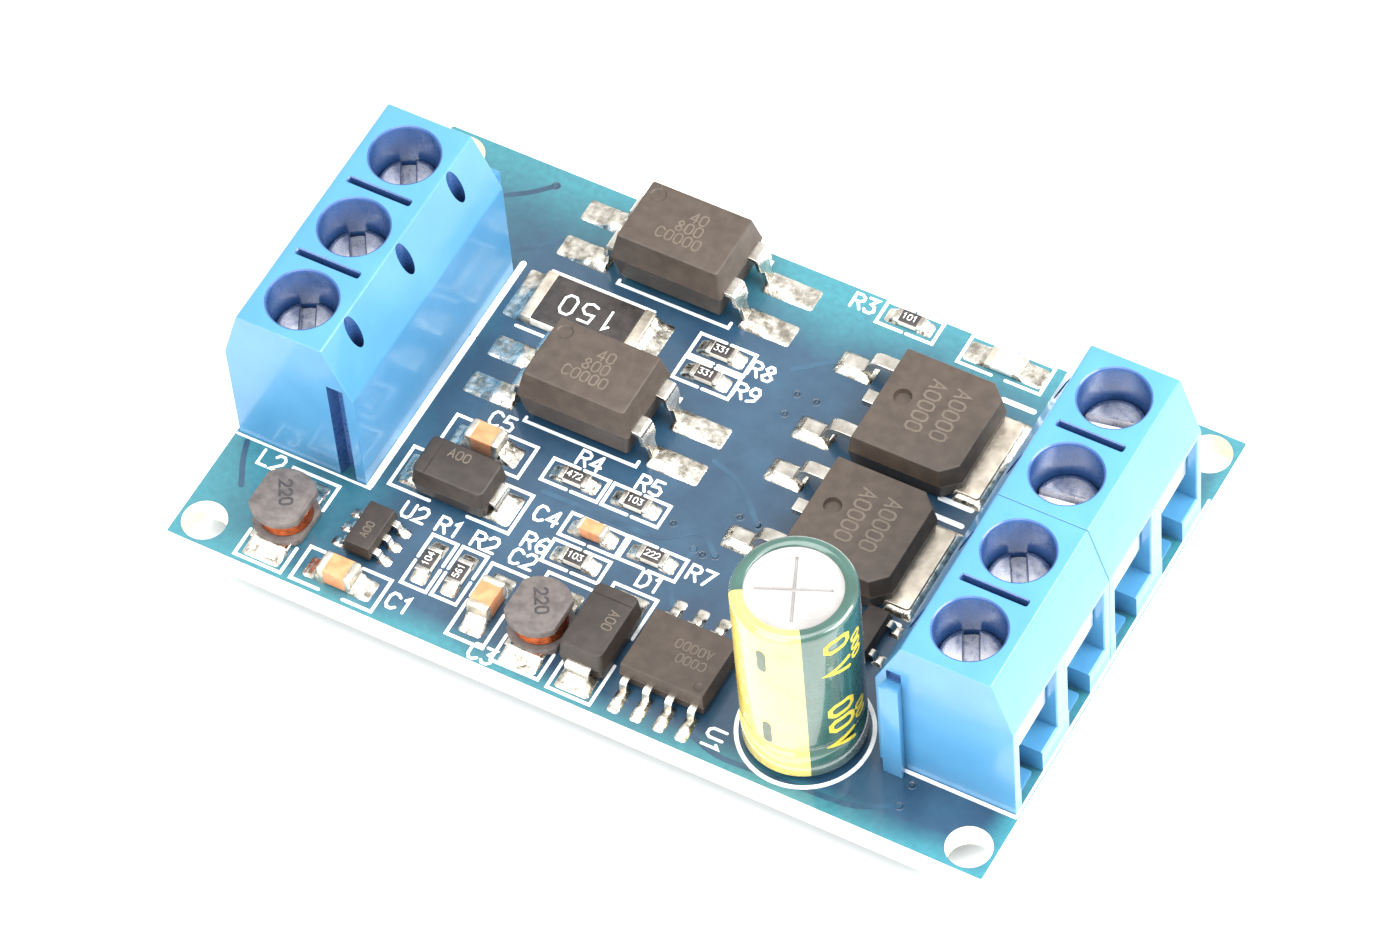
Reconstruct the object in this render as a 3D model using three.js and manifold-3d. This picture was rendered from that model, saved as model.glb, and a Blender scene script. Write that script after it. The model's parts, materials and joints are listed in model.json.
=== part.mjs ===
// Opto-isolated power driver module: a small circuit board with a three-way and a four-way
// screw-terminal row, two optocouplers, two power transistors, a buck-converter section and
// one radial electrolytic capacitor.
//
// Millimetres, +Z up. X runs along the board, towards the four-way terminal row, and Y across it.
// The origin is under the middle of the board, on the plane of the trimmed lead tips.

import * as THREE from 'three';
import { mergeVertices } from 'three/addons/utils/BufferGeometryUtils.js';
import Module from 'manifold-3d';

const wasm = await Module();
wasm.setup();

// ---------------------------------------------------------------- driving dimensions

const BOARD = { length: 46.3, width: 29, thickness: 1.6 };
const TAIL_LENGTH = 1.6; // how far soldered tails stand out under the board
const BOARD_TOP = TAIL_LENGTH + BOARD.thickness;
const CORNER_HOLE = { x: 21.75, y: 13.1, radius: 1.2 };

const PITCH = 5.08; // distance between neighbouring terminal poles
const BLOCK = {
  depth: 7.5,
  height: 10.4,
  tongueMargin: PITCH / 2, // last pole to the end that carries the dovetail tongue
  grooveMargin: 2.4, // last pole to the end that carries the dovetail groove
  screwDepth: 3.95, // screw axis, measured from the back face
  frontSlope: { run: 1.1, foot: 6.9 },
  backSlope: { run: 1.5, foot: 7 },
};
const CHAMBER = { back: 1.4, halfWidth: 1.95, floor: 1.6, ceiling: 6.6 };
const NOTCH = { back: 4.9, farEdge: 0.3, slotEdge: -0.15, footHeight: 0.35, footFront: 7.1 };
const CUT = 1; // how far a cutting tool runs past the face that it opens
const OVERLAP = 0.1; // how far two neighbouring cutting tools run into each other
const WELL_RADIUS = 1.8;
const TEST_HOLE = { depth: 1.07, radius: 0.42, bottom: 6 };
const TOP_SLOT = { from: 2.15, to: 5.75, width: 0.36, depth: 1.5 };
const TONGUE = { from: 0.65, to: 1.45, flare: 0.15, reach: 0.65, height: 7.4, play: 0.08 };
const TONGUE_POCKET = { depth: 0.25, top: 8.1 };

const WELL_OVERLAP = 0.5; // how far a screw well is cut down into its chamber
const SCREW = {
  headTop: 8.15, headHeight: 1, headRadius: 1.65, shankRadius: 1.35, tip: 4, tipChamfer: 0.3,
  headChamfer: 0.2,
};
const SCREW_SLOT = { width: 0.75, depth: 0.65 };
const CONTACT = { back: 1.6, front: 6, plate: 0.4, halfWidth: 1.75 };
const THREAD_PLATE = { bottom: 4.3, top: 5.3, front: 6.3, holeRadius: 1.65 };
const TAIL = { depth: 3.95, width: 0.9, holeRadius: 0.75, play: 0.3 };
const GUARD = {
  back: 2.6, front: 6.95, tongueBottom: 3.6, sheet: 0.35, legTop: 6.4, halfWidth: 1.85,
};

const INPUT_ROW = { back: -15.5, tongueEnd: 7.56, poles: 3 };
const OUTPUT_ROW = { back: 15.45, tongueEnds: [-0.27, -10.43], poles: 2 };

// Moulded chips: draft is how far each wall leans in between its waist and its edge. A lead's
// shoulder and foot are the places along it where it bends down and where it lies flat again.
const OPTOCOUPLER = {
  length: 6.5, width: 4.6, bottom: 0.35, waist: 2.25, top: 3.85, draft: 0.32, leadPitch: 2.54,
  leadWidth: 1.2, reach: 5.1,
  lead: { start: 2.8, shoulder: 3.75, foot: 4.05, sheet: 0.26, exit: 2.38 },
};
const MOSFET = {
  length: 6.1, width: 6.5, bottom: 0.05, waist: 1.2, top: 2.3, draft: 0.16, cornerCut: 0.8,
  leadPitch: 4.57, leadWidth: 0.76, reach: 6.1,
  lead: { start: 2.7, shoulder: 4.5, foot: 4.9, sheet: 0.45, exit: 1.6 },
  stub: { tip: 3.75, width: 0.8 },
  tab: { start: -1, end: 4.05, width: 5.2, sheet: 0.5 },
};
const SMALL_OUTLINE = { draft: 0.09, sheet: 0.16, bendShare: 0.35, bendRun: 0.12 };
const DRIVER_LEADS = [-1.905, -0.635, 0.635, 1.905];
const DRIVER = {
  length: 4.8, width: 3.9, bottom: 0.12, waist: 0.8, top: 1.6, reach: 3, leadWidth: 0.42,
  left: DRIVER_LEADS, right: DRIVER_LEADS,
};
const REGULATOR_LEADS = [-0.95, 0, 0.95];
const REGULATOR = {
  length: 2.9, width: 1.6, bottom: 0.08, waist: 0.55, top: 1.12, reach: 1.42, leadWidth: 0.4,
  left: REGULATOR_LEADS, right: REGULATOR_LEADS,
};
const SIGNAL_TRANSISTOR = {
  length: 2.8, width: 1.35, bottom: 0.06, waist: 0.5, top: 1.02, reach: 1.22, leadWidth: 0.42,
  left: [0], right: [-0.95, 0.95],
};
const DIODE = {
  length: 4.3, width: 2.6, bottom: 0.12, waist: 1.05, top: 2.15, draft: 0.12,
  strap: { length: 5.1, width: 1.45, sheet: 0.2, exit: 1.15, footGap: 2.4 },
};
const BOBBIN = { radius: 1.75, halfWidth: 1.45, height: 2.1, flange: 0.5, neck: 0.9 };
const WINDING = { inner: 0.95, outer: 1.43, edge: 1.33, bottom: 0.53, top: 1.57, round: 0.15 };

// Chip parts: end is the length of a termination, which stands a step proud of the body.
const TERMINATION_STEP = 0.02;
const CHIP = {
  ceramicLarge: { length: 2, width: 1.25, height: 1.2, end: 0.45 },
  ceramicSmall: { length: 1.6, width: 0.8, height: 0.8, end: 0.35 },
  resistor: { length: 1.6, width: 0.8, height: 0.45, end: 0.3 },
  power: { length: 6.35, width: 3.2, height: 0.6, end: 0.65 },
  lampBase: { length: 2, width: 1.25, height: 0.35, end: 0.4 },
};
const LENS = { low: [1.25, 1.23], high: [1.05, 1.03], bottom: 0.3, top: 0.8 };

const CAPACITOR = { x: 11.41, y: -10.63, radius: 3.15, bottom: 0.45, top: 12.3, leadPitch: 2.5 };
const SLEEVE = { thickness: 0.14, rim: 2.45, gap: 0.03 };
const CAN_RADIUS = CAPACITOR.radius - SLEEVE.thickness - SLEEVE.gap;
const CAN_WALL = 0.25;
const CAN_FOOT = 0.1; // how far the sleeve reaches below the can
const CRIMP = { bottom: 2.1, top: 3, inset: 0.28, slope: 0.3 };
const SHOULDER = 0.25;
const BUNG = { bottom: 0.75, top: 2.6, play: 0.05 };
const FOIL_ROLL = { bottom: 2.95, top: 11.6, play: 0.1 };
const CAPACITOR_LEAD = { radius: 0.25, holeRadius: 0.45, boreRadius: 0.32, insideBung: 0.25 };
const CAPACITOR_SIDES = 36;

// Where each component stands on the board: x, y and its turn about Z.
const HALF_TURN = Math.PI;
const QUARTER_TURN = Math.PI / 2;
const PLACES = {
  optocoupler_1: [-7.3, 11.5],
  optocoupler_2: [-7.3, 1.75],
  power_transistor_1: [8.8, 7.7],
  power_transistor_2: [8.8, 0.2],
  driver_chip: [4.26, -10.35, QUARTER_TURN],
  regulator_chip: [-13.6, -10.25],
  signal_transistor: [11.65, -4.5],
  rectifier_diode_1: [-0.04, -10.68],
  rectifier_diode_2: [-11.03, -5.68, QUARTER_TURN],
  ceramic_capacitor_1: [-6.3, -11.25, QUARTER_TURN],
  ceramic_capacitor_2: [-3.65, -5.12],
  ceramic_capacitor_3: [-13.71, -13.13],
  ceramic_capacitor_4: [-11.18, -2.72],
  chip_resistor_1: [4.41, 13.7],
  chip_resistor_2: [-3.25, 7.65],
  chip_resistor_3: [-3.27, 6],
  chip_resistor_4: [-6.13, -2.58],
  chip_resistor_5: [-2.62, -2.58],
  chip_resistor_6: [-0.25, -5.1],
  chip_resistor_7: [-3.66, -6.92],
  chip_resistor_8: [-8.46, -10.3, QUARTER_TURN],
  chip_resistor_9: [-10.2, -10.32, QUARTER_TURN],
  power_resistor: [-10.47, 6.53],
  indicator_lamp: [10.05, 13.5],
};
const INDUCTOR_PLACES = [[-3.2, -11.2], [-18, -11.2]];
// How far each clamp screw's slot stands turned from its block's X axis.
const SCREW_TURNS = [2.1, 2.15, 2.05, 2.05, 2.1, 0.15, 0.2];

const COLOUR = {
  board: 0x2f6b7c,
  terminal: 0x3fa4e6,
  steel: 0xc9cacb,
  tin: 0xd6d4cc,
  epoxy: 0x3b3432,
  sleeve: 0x1f5d4a,
  aluminium: 0xd9d9dc,
  rubber: 0x25262a,
  ferrite: 0x4c4a4d,
  copper: 0xc4622d,
  ceramic: 0xb98a62,
  lens: 0xf1efe4,
  foil: 0x8f8a80,
};

// ---------------------------------------------------------------- solids

function asSolid(geometry) {
  const bare = geometry.clone();
  bare.deleteAttribute('normal');
  bare.deleteAttribute('uv');
  const merged = mergeVertices(bare, 1e-5);
  const corners = merged.index.array;
  const kept = [];
  for (let i = 0; i < corners.length; i += 3) {
    const [a, b, c] = corners.slice(i, i + 3);
    if (a !== b && b !== c && a !== c) kept.push(a, b, c);
  }
  const mesh = new wasm.Mesh({
    numProp: 3,
    vertProperties: new Float32Array(merged.attributes.position.array),
    triVerts: new Uint32Array(kept),
  });
  return new wasm.Manifold(mesh);
}

function asGeometry(solid) {
  const mesh = solid.getMesh();
  const geometry = new THREE.BufferGeometry();
  geometry.setAttribute('position', new THREE.BufferAttribute(mesh.vertProperties, 3));
  geometry.setIndex(new THREE.BufferAttribute(mesh.triVerts, 1));
  return geometry;
}

function join(...solids) {
  return solids.reduce((whole, next) => whole.add(next));
}

function cut(solid, ...tools) {
  return tools.reduce((rest, tool) => rest.subtract(tool), solid);
}

// A box from its lowest to its highest corner.
function box([x0, y0, z0], [x1, y1, z1]) {
  const geometry = new THREE.BoxGeometry(x1 - x0, y1 - y0, z1 - z0);
  geometry.translate((x0 + x1) / 2, (y0 + y1) / 2, (z0 + z1) / 2);
  return asSolid(geometry);
}

// A box of a given size, centred on x and y, standing on height z.
function slab(length, width, height, x = 0, y = 0, z = 0) {
  return box([x - length / 2, y - width / 2, z], [x + length / 2, y + width / 2, z + height]);
}

function cylinder(radius, bottom, top, x = 0, y = 0, sides = 32) {
  const geometry = new THREE.CylinderGeometry(radius, radius, top - bottom, sides);
  geometry.rotateX(Math.PI / 2);
  geometry.translate(x, y, (bottom + top) / 2);
  return asSolid(geometry);
}

function outline(points) {
  return new THREE.Shape(points.map(([a, b]) => new THREE.Vector2(a, b)));
}

// An outline in X and Y, raised from one height to another.
function raise(points, bottom, top) {
  const geometry = new THREE.ExtrudeGeometry(outline(points), {
    depth: top - bottom,
    bevelEnabled: false,
  });
  geometry.translate(0, 0, bottom);
  return asSolid(geometry);
}

// A profile in X and Z, drawn out along Y from one place to another.
function drawOut(points, from, to) {
  const geometry = new THREE.ExtrudeGeometry(outline(points), {
    depth: to - from,
    bevelEnabled: false,
  });
  geometry.rotateX(Math.PI / 2);
  geometry.translate(0, to, 0);
  return asSolid(geometry);
}

// A radius-and-height profile turned about Z.
function turn(points, sides = 40) {
  const profile = points.map(([radius, height]) => new THREE.Vector2(radius, height));
  const geometry = new THREE.LatheGeometry(profile, sides);
  geometry.rotateX(Math.PI / 2);
  return asSolid(geometry);
}

// A block whose bottom and top are two rectangles of different size, about one centre line.
function frustum(lowSize, highSize, bottom, top) {
  const geometry = new THREE.BoxGeometry(1, 1, 1);
  const position = geometry.attributes.position;
  for (let i = 0; i < position.count; i += 1) {
    const raised = position.getZ(i) > 0;
    const [length, width] = raised ? highSize : lowSize;
    position.setXYZ(
      i,
      position.getX(i) * length,
      position.getY(i) * width,
      raised ? top : bottom,
    );
  }
  return asSolid(geometry);
}

// A moulded body: it widens up to the plane of its leads and narrows above it.
function mouldedBody(length, width, { bottom, waist, top }, draft) {
  const ends = [length - 2 * draft, width - 2 * draft];
  return join(
    frustum(ends, [length, width], bottom, waist),
    frustum([length, width], ends, waist, top),
  );
}

// The profile of a flat lead that leaves a body at one height, bends down and ends in a foot.
function gullWing(reach, { start, shoulder, foot, sheet, exit }) {
  return [
    [start, exit - sheet],
    [shoulder - sheet, exit - sheet],
    [foot - sheet / 2, 0],
    [reach, 0],
    [reach, sheet],
    [foot + sheet / 2, sheet],
    [shoulder, exit],
    [start, exit],
  ];
}

function mirrored(points) {
  return points.map(([x, z]) => [-x, z]).reverse();
}

// ---------------------------------------------------------------- circuit board

function boardSolid(tailPlaces, leadPlaces) {
  const under = -BOARD.thickness;
  const drillDepth = [under - CUT, CUT];
  const holes = [];
  for (const x of [-CORNER_HOLE.x, CORNER_HOLE.x]) {
    for (const y of [-CORNER_HOLE.y, CORNER_HOLE.y]) {
      holes.push(cylinder(CORNER_HOLE.radius, ...drillDepth, x, y, 32));
    }
  }
  for (const [x, y] of tailPlaces) {
    holes.push(cylinder(TAIL.holeRadius, ...drillDepth, x, y, 14));
  }
  for (const [x, y] of leadPlaces) {
    holes.push(cylinder(CAPACITOR_LEAD.holeRadius, ...drillDepth, x, y, 12));
  }
  return cut(slab(BOARD.length, BOARD.width, BOARD.thickness, 0, 0, under), ...holes);
}

// ---------------------------------------------------------------- screw terminals
// A terminal block is drawn with its back face at x = 0, its wire entries facing +X and the end
// with the dovetail tongue at y = 0, so that its poles follow each other along +Y.

function poleOffset(index) {
  return BLOCK.tongueMargin + index * PITCH;
}

function blockLength(poles) {
  return poleOffset(poles - 1) + BLOCK.grooveMargin;
}

function blockProfile() {
  const { depth, height, frontSlope, backSlope } = BLOCK;
  return [
    [0, 0],
    [depth, 0],
    [depth, frontSlope.foot],
    [depth - frontSlope.run, height],
    [backSlope.run, height],
    [0, backSlope.foot],
  ];
}

// The dovetail's plan: narrow where it leaves the block and wider at its tip.
function dovetail(tip, play) {
  const { from, to, flare, reach } = TONGUE;
  return [
    [from - play, tip + reach + play],
    [from - flare - play, tip],
    [to + flare + play, tip],
    [to + play, tip + reach + play],
  ];
}

// What one pole leaves open in the housing: screw well, test hole, chamber and wire entry.
function poleHollows(y) {
  const { back, halfWidth, floor, ceiling } = CHAMBER;
  const mouth = BLOCK.depth + CUT;
  const sky = BLOCK.height + CUT;
  const near = y - halfWidth;
  const farEdge = y + NOTCH.farEdge;
  return [
    cylinder(WELL_RADIUS, ceiling - WELL_OVERLAP, sky, BLOCK.screwDepth, y, 36),
    cylinder(TEST_HOLE.radius, TEST_HOLE.bottom, sky, TEST_HOLE.depth, y, 12),
    box([back, near, floor], [mouth, y + halfWidth, ceiling]),
    box([NOTCH.back, near, NOTCH.footHeight], [mouth, farEdge, floor + OVERLAP]),
    box([NOTCH.back, y + NOTCH.slotEdge, -CUT], [mouth, farEdge, floor]),
    box([NOTCH.footFront, near, -CUT], [mouth, farEdge, floor]),
    slab(TAIL.width + TAIL.play, TAIL.width + TAIL.play, floor + 2 * CUT, TAIL.depth, y, -CUT),
  ];
}

function topSlot(y) {
  const { from, to, width, depth } = TOP_SLOT;
  const { height } = BLOCK;
  return box([from, y - width / 2, height - depth], [to, y + width / 2, height + CUT]);
}

function housingSolid(poles) {
  const length = blockLength(poles);
  const pocket = box(
    [TONGUE.from, -CUT, TONGUE.height],
    [TONGUE.to, TONGUE_POCKET.depth, TONGUE_POCKET.top],
  );
  const grooveTop = TONGUE.height + OVERLAP;
  const groove = raise(dovetail(length - TONGUE.reach, TONGUE.play), -CUT, grooveTop);
  const tongue = raise(dovetail(-TONGUE.reach, 0), 0, TONGUE.height);
  const hollows = [pocket, groove];
  for (let pole = 0; pole < poles; pole += 1) {
    hollows.push(...poleHollows(poleOffset(pole)));
    if (pole > 0) hollows.push(topSlot(poleOffset(pole) - PITCH / 2));
  }
  return join(cut(drawOut(blockProfile(), 0, length), ...hollows), tongue);
}

// A slotted screw, its axis at x = y = 0.
function screwSolid() {
  const { headTop, headHeight, headRadius, shankRadius, tip, tipChamfer, headChamfer } = SCREW;
  const body = turn([
    [0, tip],
    [shankRadius - tipChamfer, tip],
    [shankRadius, tip + tipChamfer],
    [shankRadius, headTop - headHeight],
    [headRadius, headTop - headHeight],
    [headRadius, headTop - headChamfer],
    [headRadius - headChamfer, headTop],
    [0, headTop],
  ], 28);
  const slotLength = 2 * (headRadius + CUT);
  const slot = slab(slotLength, SCREW_SLOT.width, CUT, 0, 0, headTop - SCREW_SLOT.depth);
  return cut(body, slot);
}

// The fixed contact: a plate folded into a C, threaded on top, with a tail for the board.
function contactSolid() {
  const { back, front, plate, halfWidth } = CONTACT;
  const floor = CHAMBER.floor;
  const fold = drawOut([
    [back, floor],
    [front, floor],
    [front, floor + plate],
    [back + plate, floor + plate],
    [back + plate, THREAD_PLATE.bottom],
    [THREAD_PLATE.front, THREAD_PLATE.bottom],
    [THREAD_PLATE.front, THREAD_PLATE.top],
    [back, THREAD_PLATE.top],
  ], -halfWidth, halfWidth);
  const { bottom, top, holeRadius } = THREAD_PLATE;
  const thread = cylinder(holeRadius, bottom - CUT, top + CUT, BLOCK.screwDepth, 0, 24);
  const tailHeight = BOARD_TOP + floor + plate / 2;
  const tail = slab(TAIL.width, TAIL.width, tailHeight, TAIL.depth, 0, -BOARD_TOP);
  return join(cut(fold, thread), tail);
}

// The wire guard: a bent strip that the screw presses down on the wire.
function guardSolid() {
  const { back, front, tongueBottom, sheet, legTop, halfWidth } = GUARD;
  return drawOut([
    [back, tongueBottom],
    [front, tongueBottom],
    [front, legTop],
    [front - sheet, legTop],
    [front - sheet, tongueBottom + sheet],
    [back, tongueBottom + sheet],
  ], -halfWidth, halfWidth);
}

// ---------------------------------------------------------------- soldered components
// Each component is drawn over x = y = 0 and stands on z = 0, the face of the board.

function strapAt(profile, y, width) {
  return drawOut(profile, y - width / 2, y + width / 2);
}

function optocouplerSolid() {
  const { length, width, draft, leadPitch, leadWidth, reach, lead } = OPTOCOUPLER;
  const wing = gullWing(reach, lead);
  const leads = [];
  for (const y of [-leadPitch / 2, leadPitch / 2]) {
    leads.push(strapAt(wing, y, leadWidth), strapAt(mirrored(wing), y, leadWidth));
  }
  return join(mouldedBody(length, width, OPTOCOUPLER, draft), ...leads);
}

// A power transistor: two long leads and a cut middle one towards -X, a soldered tab towards +X.
function mosfetSolid() {
  const { length, width, top, draft, cornerCut, leadPitch, leadWidth, reach, lead } = MOSFET;
  const end = length / 2;
  const side = width / 2;
  const plan = [
    [-end, -side],
    [end - cornerCut, -side],
    [end, -side + cornerCut],
    [end, side - cornerCut],
    [end - cornerCut, side],
    [-end, side],
  ];
  const body = raise(plan, 0, top + CUT).intersect(mouldedBody(length, width, MOSFET, draft));
  const wing = mirrored(gullWing(reach, lead));
  const leads = [-leadPitch / 2, leadPitch / 2].map((y) => strapAt(wing, y, leadWidth));
  const { stub, tab } = MOSFET;
  const middleLead = box(
    [-stub.tip, -stub.width / 2, lead.exit - lead.sheet],
    [-lead.start, stub.width / 2, lead.exit],
  );
  const heatTab = box([tab.start, -tab.width / 2, 0], [tab.end, tab.width / 2, tab.sheet]);
  return join(body, middleLead, heatTab, ...leads);
}

// A small moulded chip with gull-wing leads; left and right are their places along its length.
function smallOutline(size) {
  const { length, width, waist, reach, left, right, leadWidth } = size;
  const { draft, sheet, bendShare, bendRun } = SMALL_OUTLINE;
  const half = width / 2;
  const bend = (reach - half) * bendShare;
  const wing = gullWing(reach, {
    start: half - sheet,
    shoulder: half + bend,
    foot: half + bend + bendRun,
    sheet,
    exit: waist + sheet / 2,
  });
  const leads = [
    ...left.map((y) => strapAt(mirrored(wing), y, leadWidth)),
    ...right.map((y) => strapAt(wing, y, leadWidth)),
  ];
  return join(mouldedBody(width, length, size, draft), ...leads);
}

// A rectifier diode along Y: its flat leads come out of the ends and fold under.
function diodeSolid() {
  const { length, width, bottom, draft } = DIODE;
  const { strap } = DIODE;
  const body = mouldedBody(width, length, DIODE, draft);
  const feet = cut(
    slab(strap.width, strap.length, strap.sheet),
    slab(strap.width + CUT, strap.footGap, bottom + strap.sheet),
  );
  const risers = [-1, 1].map((side) => slab(
    strap.width, strap.sheet, strap.exit, 0, side * (strap.length - strap.sheet) / 2,
  ));
  const exits = slab(strap.width, strap.length, strap.sheet, 0, 0, strap.exit - strap.sheet);
  return join(body, feet, ...risers, exits);
}

// The ferrite bobbin of a power inductor: two flanges with flat sides and a neck between them.
function inductorCoreSolid() {
  const { radius, halfWidth, height, flange, neck } = BOBBIN;
  const blank = cylinder(radius, 0, height).intersect(slab(2 * halfWidth, 2 * radius, height));
  const window = slab(2 * radius + CUT, 2 * radius + CUT, height - 2 * flange, 0, 0, flange);
  return cut(blank, cut(window, cylinder(neck, 0, height, 0, 0, 20)));
}

function inductorWindingSolid() {
  const { inner, outer, edge, bottom, top, round } = WINDING;
  return turn([
    [inner, bottom],
    [edge, bottom],
    [outer, bottom + round],
    [outer, top - round],
    [edge, top],
    [inner, top],
    [inner, bottom],
  ], 20);
}

// A chip part along X: a plain body with a wrapped termination on each end.
function chipSolid({ length, width, height, end }) {
  const step = TERMINATION_STEP;
  const body = slab(length - 2 * step, width - 2 * step, height - 2 * step, 0, 0, step);
  const ends = [-1, 1].map((side) => slab(end, width, height, side * (length - end) / 2));
  return join(body, ...ends);
}

function indicatorSolid() {
  return join(chipSolid(CHIP.lampBase), frustum(LENS.low, LENS.high, LENS.bottom, LENS.top));
}

// ---------------------------------------------------------------- electrolytic capacitor
// Drawn about x = y = 0, standing over the face of the board.

// The outside of the can and of what is shrunk on it, from the bottom edge to the top edge.
function canOutline(radius, bottom, top) {
  const { bottom: low, top: high, inset, slope } = CRIMP;
  return [
    [radius, bottom],
    [radius, low],
    [radius - inset, low + slope],
    [radius - inset, high - slope],
    [radius, high],
    [radius, top - SHOULDER],
    [radius - SHOULDER, top],
  ];
}

function canSolid() {
  const top = CAPACITOR.top - SLEEVE.thickness;
  const bottom = CAPACITOR.bottom + CAN_FOOT;
  const outside = canOutline(CAN_RADIUS, bottom, top);
  const inner = CAN_RADIUS - CAN_WALL;
  return turn([
    ...outside,
    [0, top],
    [0, top - CAN_WALL],
    [inner, top - CAN_WALL],
    [inner, CRIMP.top + OVERLAP],
    [inner - CRIMP.inset, (CRIMP.top + CRIMP.bottom) / 2],
    [inner, CRIMP.bottom - OVERLAP],
    [inner, bottom],
    outside[0],
  ], CAPACITOR_SIDES);
}

function sleeveSolid() {
  const { thickness, rim, gap } = SLEEVE;
  const { radius, bottom, top } = CAPACITOR;
  const outside = canOutline(radius, bottom, top);
  const inside = canOutline(CAN_RADIUS + gap, bottom, top - thickness + gap);
  return turn([
    ...outside,
    [rim, top],
    [rim, top - thickness + gap],
    ...inside.reverse(),
    outside[0],
  ], CAPACITOR_SIDES);
}

function bungSolid() {
  const radius = CAN_RADIUS - CAN_WALL - BUNG.play;
  const waist = radius - CRIMP.inset;
  const plug = turn([
    [0, BUNG.bottom],
    [radius, BUNG.bottom],
    [radius, CRIMP.bottom - CRIMP.slope],
    [waist, CRIMP.bottom + CRIMP.slope],
    [waist, BUNG.top],
    [0, BUNG.top],
  ], CAPACITOR_SIDES);
  const bores = [-1, 1].map((side) => cylinder(
    CAPACITOR_LEAD.boreRadius, 0, BUNG.top + CUT, 0, side * CAPACITOR.leadPitch / 2, 10,
  ));
  return cut(plug, ...bores);
}

function foilRollSolid() {
  const radius = CAN_RADIUS - CAN_WALL - CRIMP.inset - FOIL_ROLL.play;
  return cylinder(radius, FOIL_ROLL.bottom, FOIL_ROLL.top, 0, 0, 24);
}

function capacitorLeadSolid() {
  const { radius, insideBung } = CAPACITOR_LEAD;
  return cylinder(radius, -BOARD_TOP, BUNG.top + insideBung, 0, 0, 10);
}

// ---------------------------------------------------------------- assembly

const part = new THREE.Group();
const board = new THREE.Group();
board.position.z = BOARD_TOP;
part.add(board);

function finish(colour, roughness, metalness = 0) {
  return new THREE.MeshStandardMaterial({ color: colour, roughness, metalness, flatShading: true });
}

function place(parent, name, solid, material, x = 0, y = 0, turnZ = 0) {
  const mesh = new THREE.Mesh(asGeometry(solid), material);
  mesh.name = name;
  mesh.position.set(x, y, 0);
  mesh.rotation.z = turnZ;
  parent.add(mesh);
  return mesh;
}

// Places one terminal block with its poles; poles are numbered on from firstPole.
function placeBlock(name, poles, firstPole, x, y, turnZ) {
  const block = new THREE.Group();
  block.position.set(x, y, 0);
  block.rotation.z = turnZ;
  board.add(block);
  place(block, name, housingSolid(poles), finish(COLOUR.terminal, 0.45));
  for (let pole = 0; pole < poles; pole += 1) {
    const number = firstPole + pole;
    const offset = poleOffset(pole);
    place(block, `terminal_contact_${number}`, contactSolid(), finish(COLOUR.tin, 0.35, 1), 0, offset);
    place(block, `wire_guard_${number}`, guardSolid(), finish(COLOUR.steel, 0.3, 1), 0, offset);
    place(
      block, `clamp_screw_${number}`, screwSolid(), finish(COLOUR.steel, 0.3, 1),
      BLOCK.screwDepth, offset, SCREW_TURNS[number - 1],
    );
  }
}

placeBlock(
  'input_terminal_housing', INPUT_ROW.poles, 1, INPUT_ROW.back, INPUT_ROW.tongueEnd, HALF_TURN,
);
OUTPUT_ROW.tongueEnds.slice().reverse().forEach((tongueEnd, index) => {
  placeBlock(
    `output_terminal_housing_${index + 1}`, OUTPUT_ROW.poles,
    INPUT_ROW.poles + 1 + index * OUTPUT_ROW.poles, OUTPUT_ROW.back, tongueEnd, 0,
  );
});

function tailPlaces() {
  const places = [];
  for (let pole = 0; pole < INPUT_ROW.poles; pole += 1) {
    places.push([INPUT_ROW.back - TAIL.depth, INPUT_ROW.tongueEnd - poleOffset(pole)]);
  }
  for (const tongueEnd of OUTPUT_ROW.tongueEnds) {
    for (let pole = 0; pole < OUTPUT_ROW.poles; pole += 1) {
      places.push([OUTPUT_ROW.back + TAIL.depth, tongueEnd + poleOffset(pole)]);
    }
  }
  return places;
}

const leadPlaces = [-1, 1].map((side) => [
  CAPACITOR.x,
  CAPACITOR.y + side * CAPACITOR.leadPitch / 2,
]);
place(board, 'circuit_board', boardSolid(tailPlaces(), leadPlaces), finish(COLOUR.board, 0.4));

function placeOnBoard(name, solid, material) {
  return place(board, name, solid, material, ...PLACES[name]);
}

const epoxy = () => finish(COLOUR.epoxy, 0.6);
for (const number of [1, 2]) {
  placeOnBoard(`optocoupler_${number}`, optocouplerSolid(), epoxy());
  placeOnBoard(`power_transistor_${number}`, mosfetSolid(), epoxy());
  placeOnBoard(`rectifier_diode_${number}`, diodeSolid(), epoxy());
}
placeOnBoard('driver_chip', smallOutline(DRIVER), epoxy());
placeOnBoard('regulator_chip', smallOutline(REGULATOR), epoxy());
placeOnBoard('signal_transistor', smallOutline(SIGNAL_TRANSISTOR), epoxy());

INDUCTOR_PLACES.forEach(([x, y], index) => {
  const core = finish(COLOUR.ferrite, 0.55);
  const wire = finish(COLOUR.copper, 0.35, 0.8);
  place(board, `inductor_core_${index + 1}`, inductorCoreSolid(), core, x, y);
  place(board, `inductor_winding_${index + 1}`, inductorWindingSolid(), wire, x, y);
});

const ceramic = () => finish(COLOUR.ceramic, 0.5);
for (const number of [1, 3, 4]) {
  placeOnBoard(`ceramic_capacitor_${number}`, chipSolid(CHIP.ceramicLarge), ceramic());
}
placeOnBoard('ceramic_capacitor_2', chipSolid(CHIP.ceramicSmall), ceramic());
for (const name of Object.keys(PLACES).filter((key) => key.startsWith('chip_resistor'))) {
  placeOnBoard(name, chipSolid(CHIP.resistor), epoxy());
}
placeOnBoard('power_resistor', chipSolid(CHIP.power), epoxy());
placeOnBoard('indicator_lamp', indicatorSolid(), finish(COLOUR.lens, 0.3));

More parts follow.
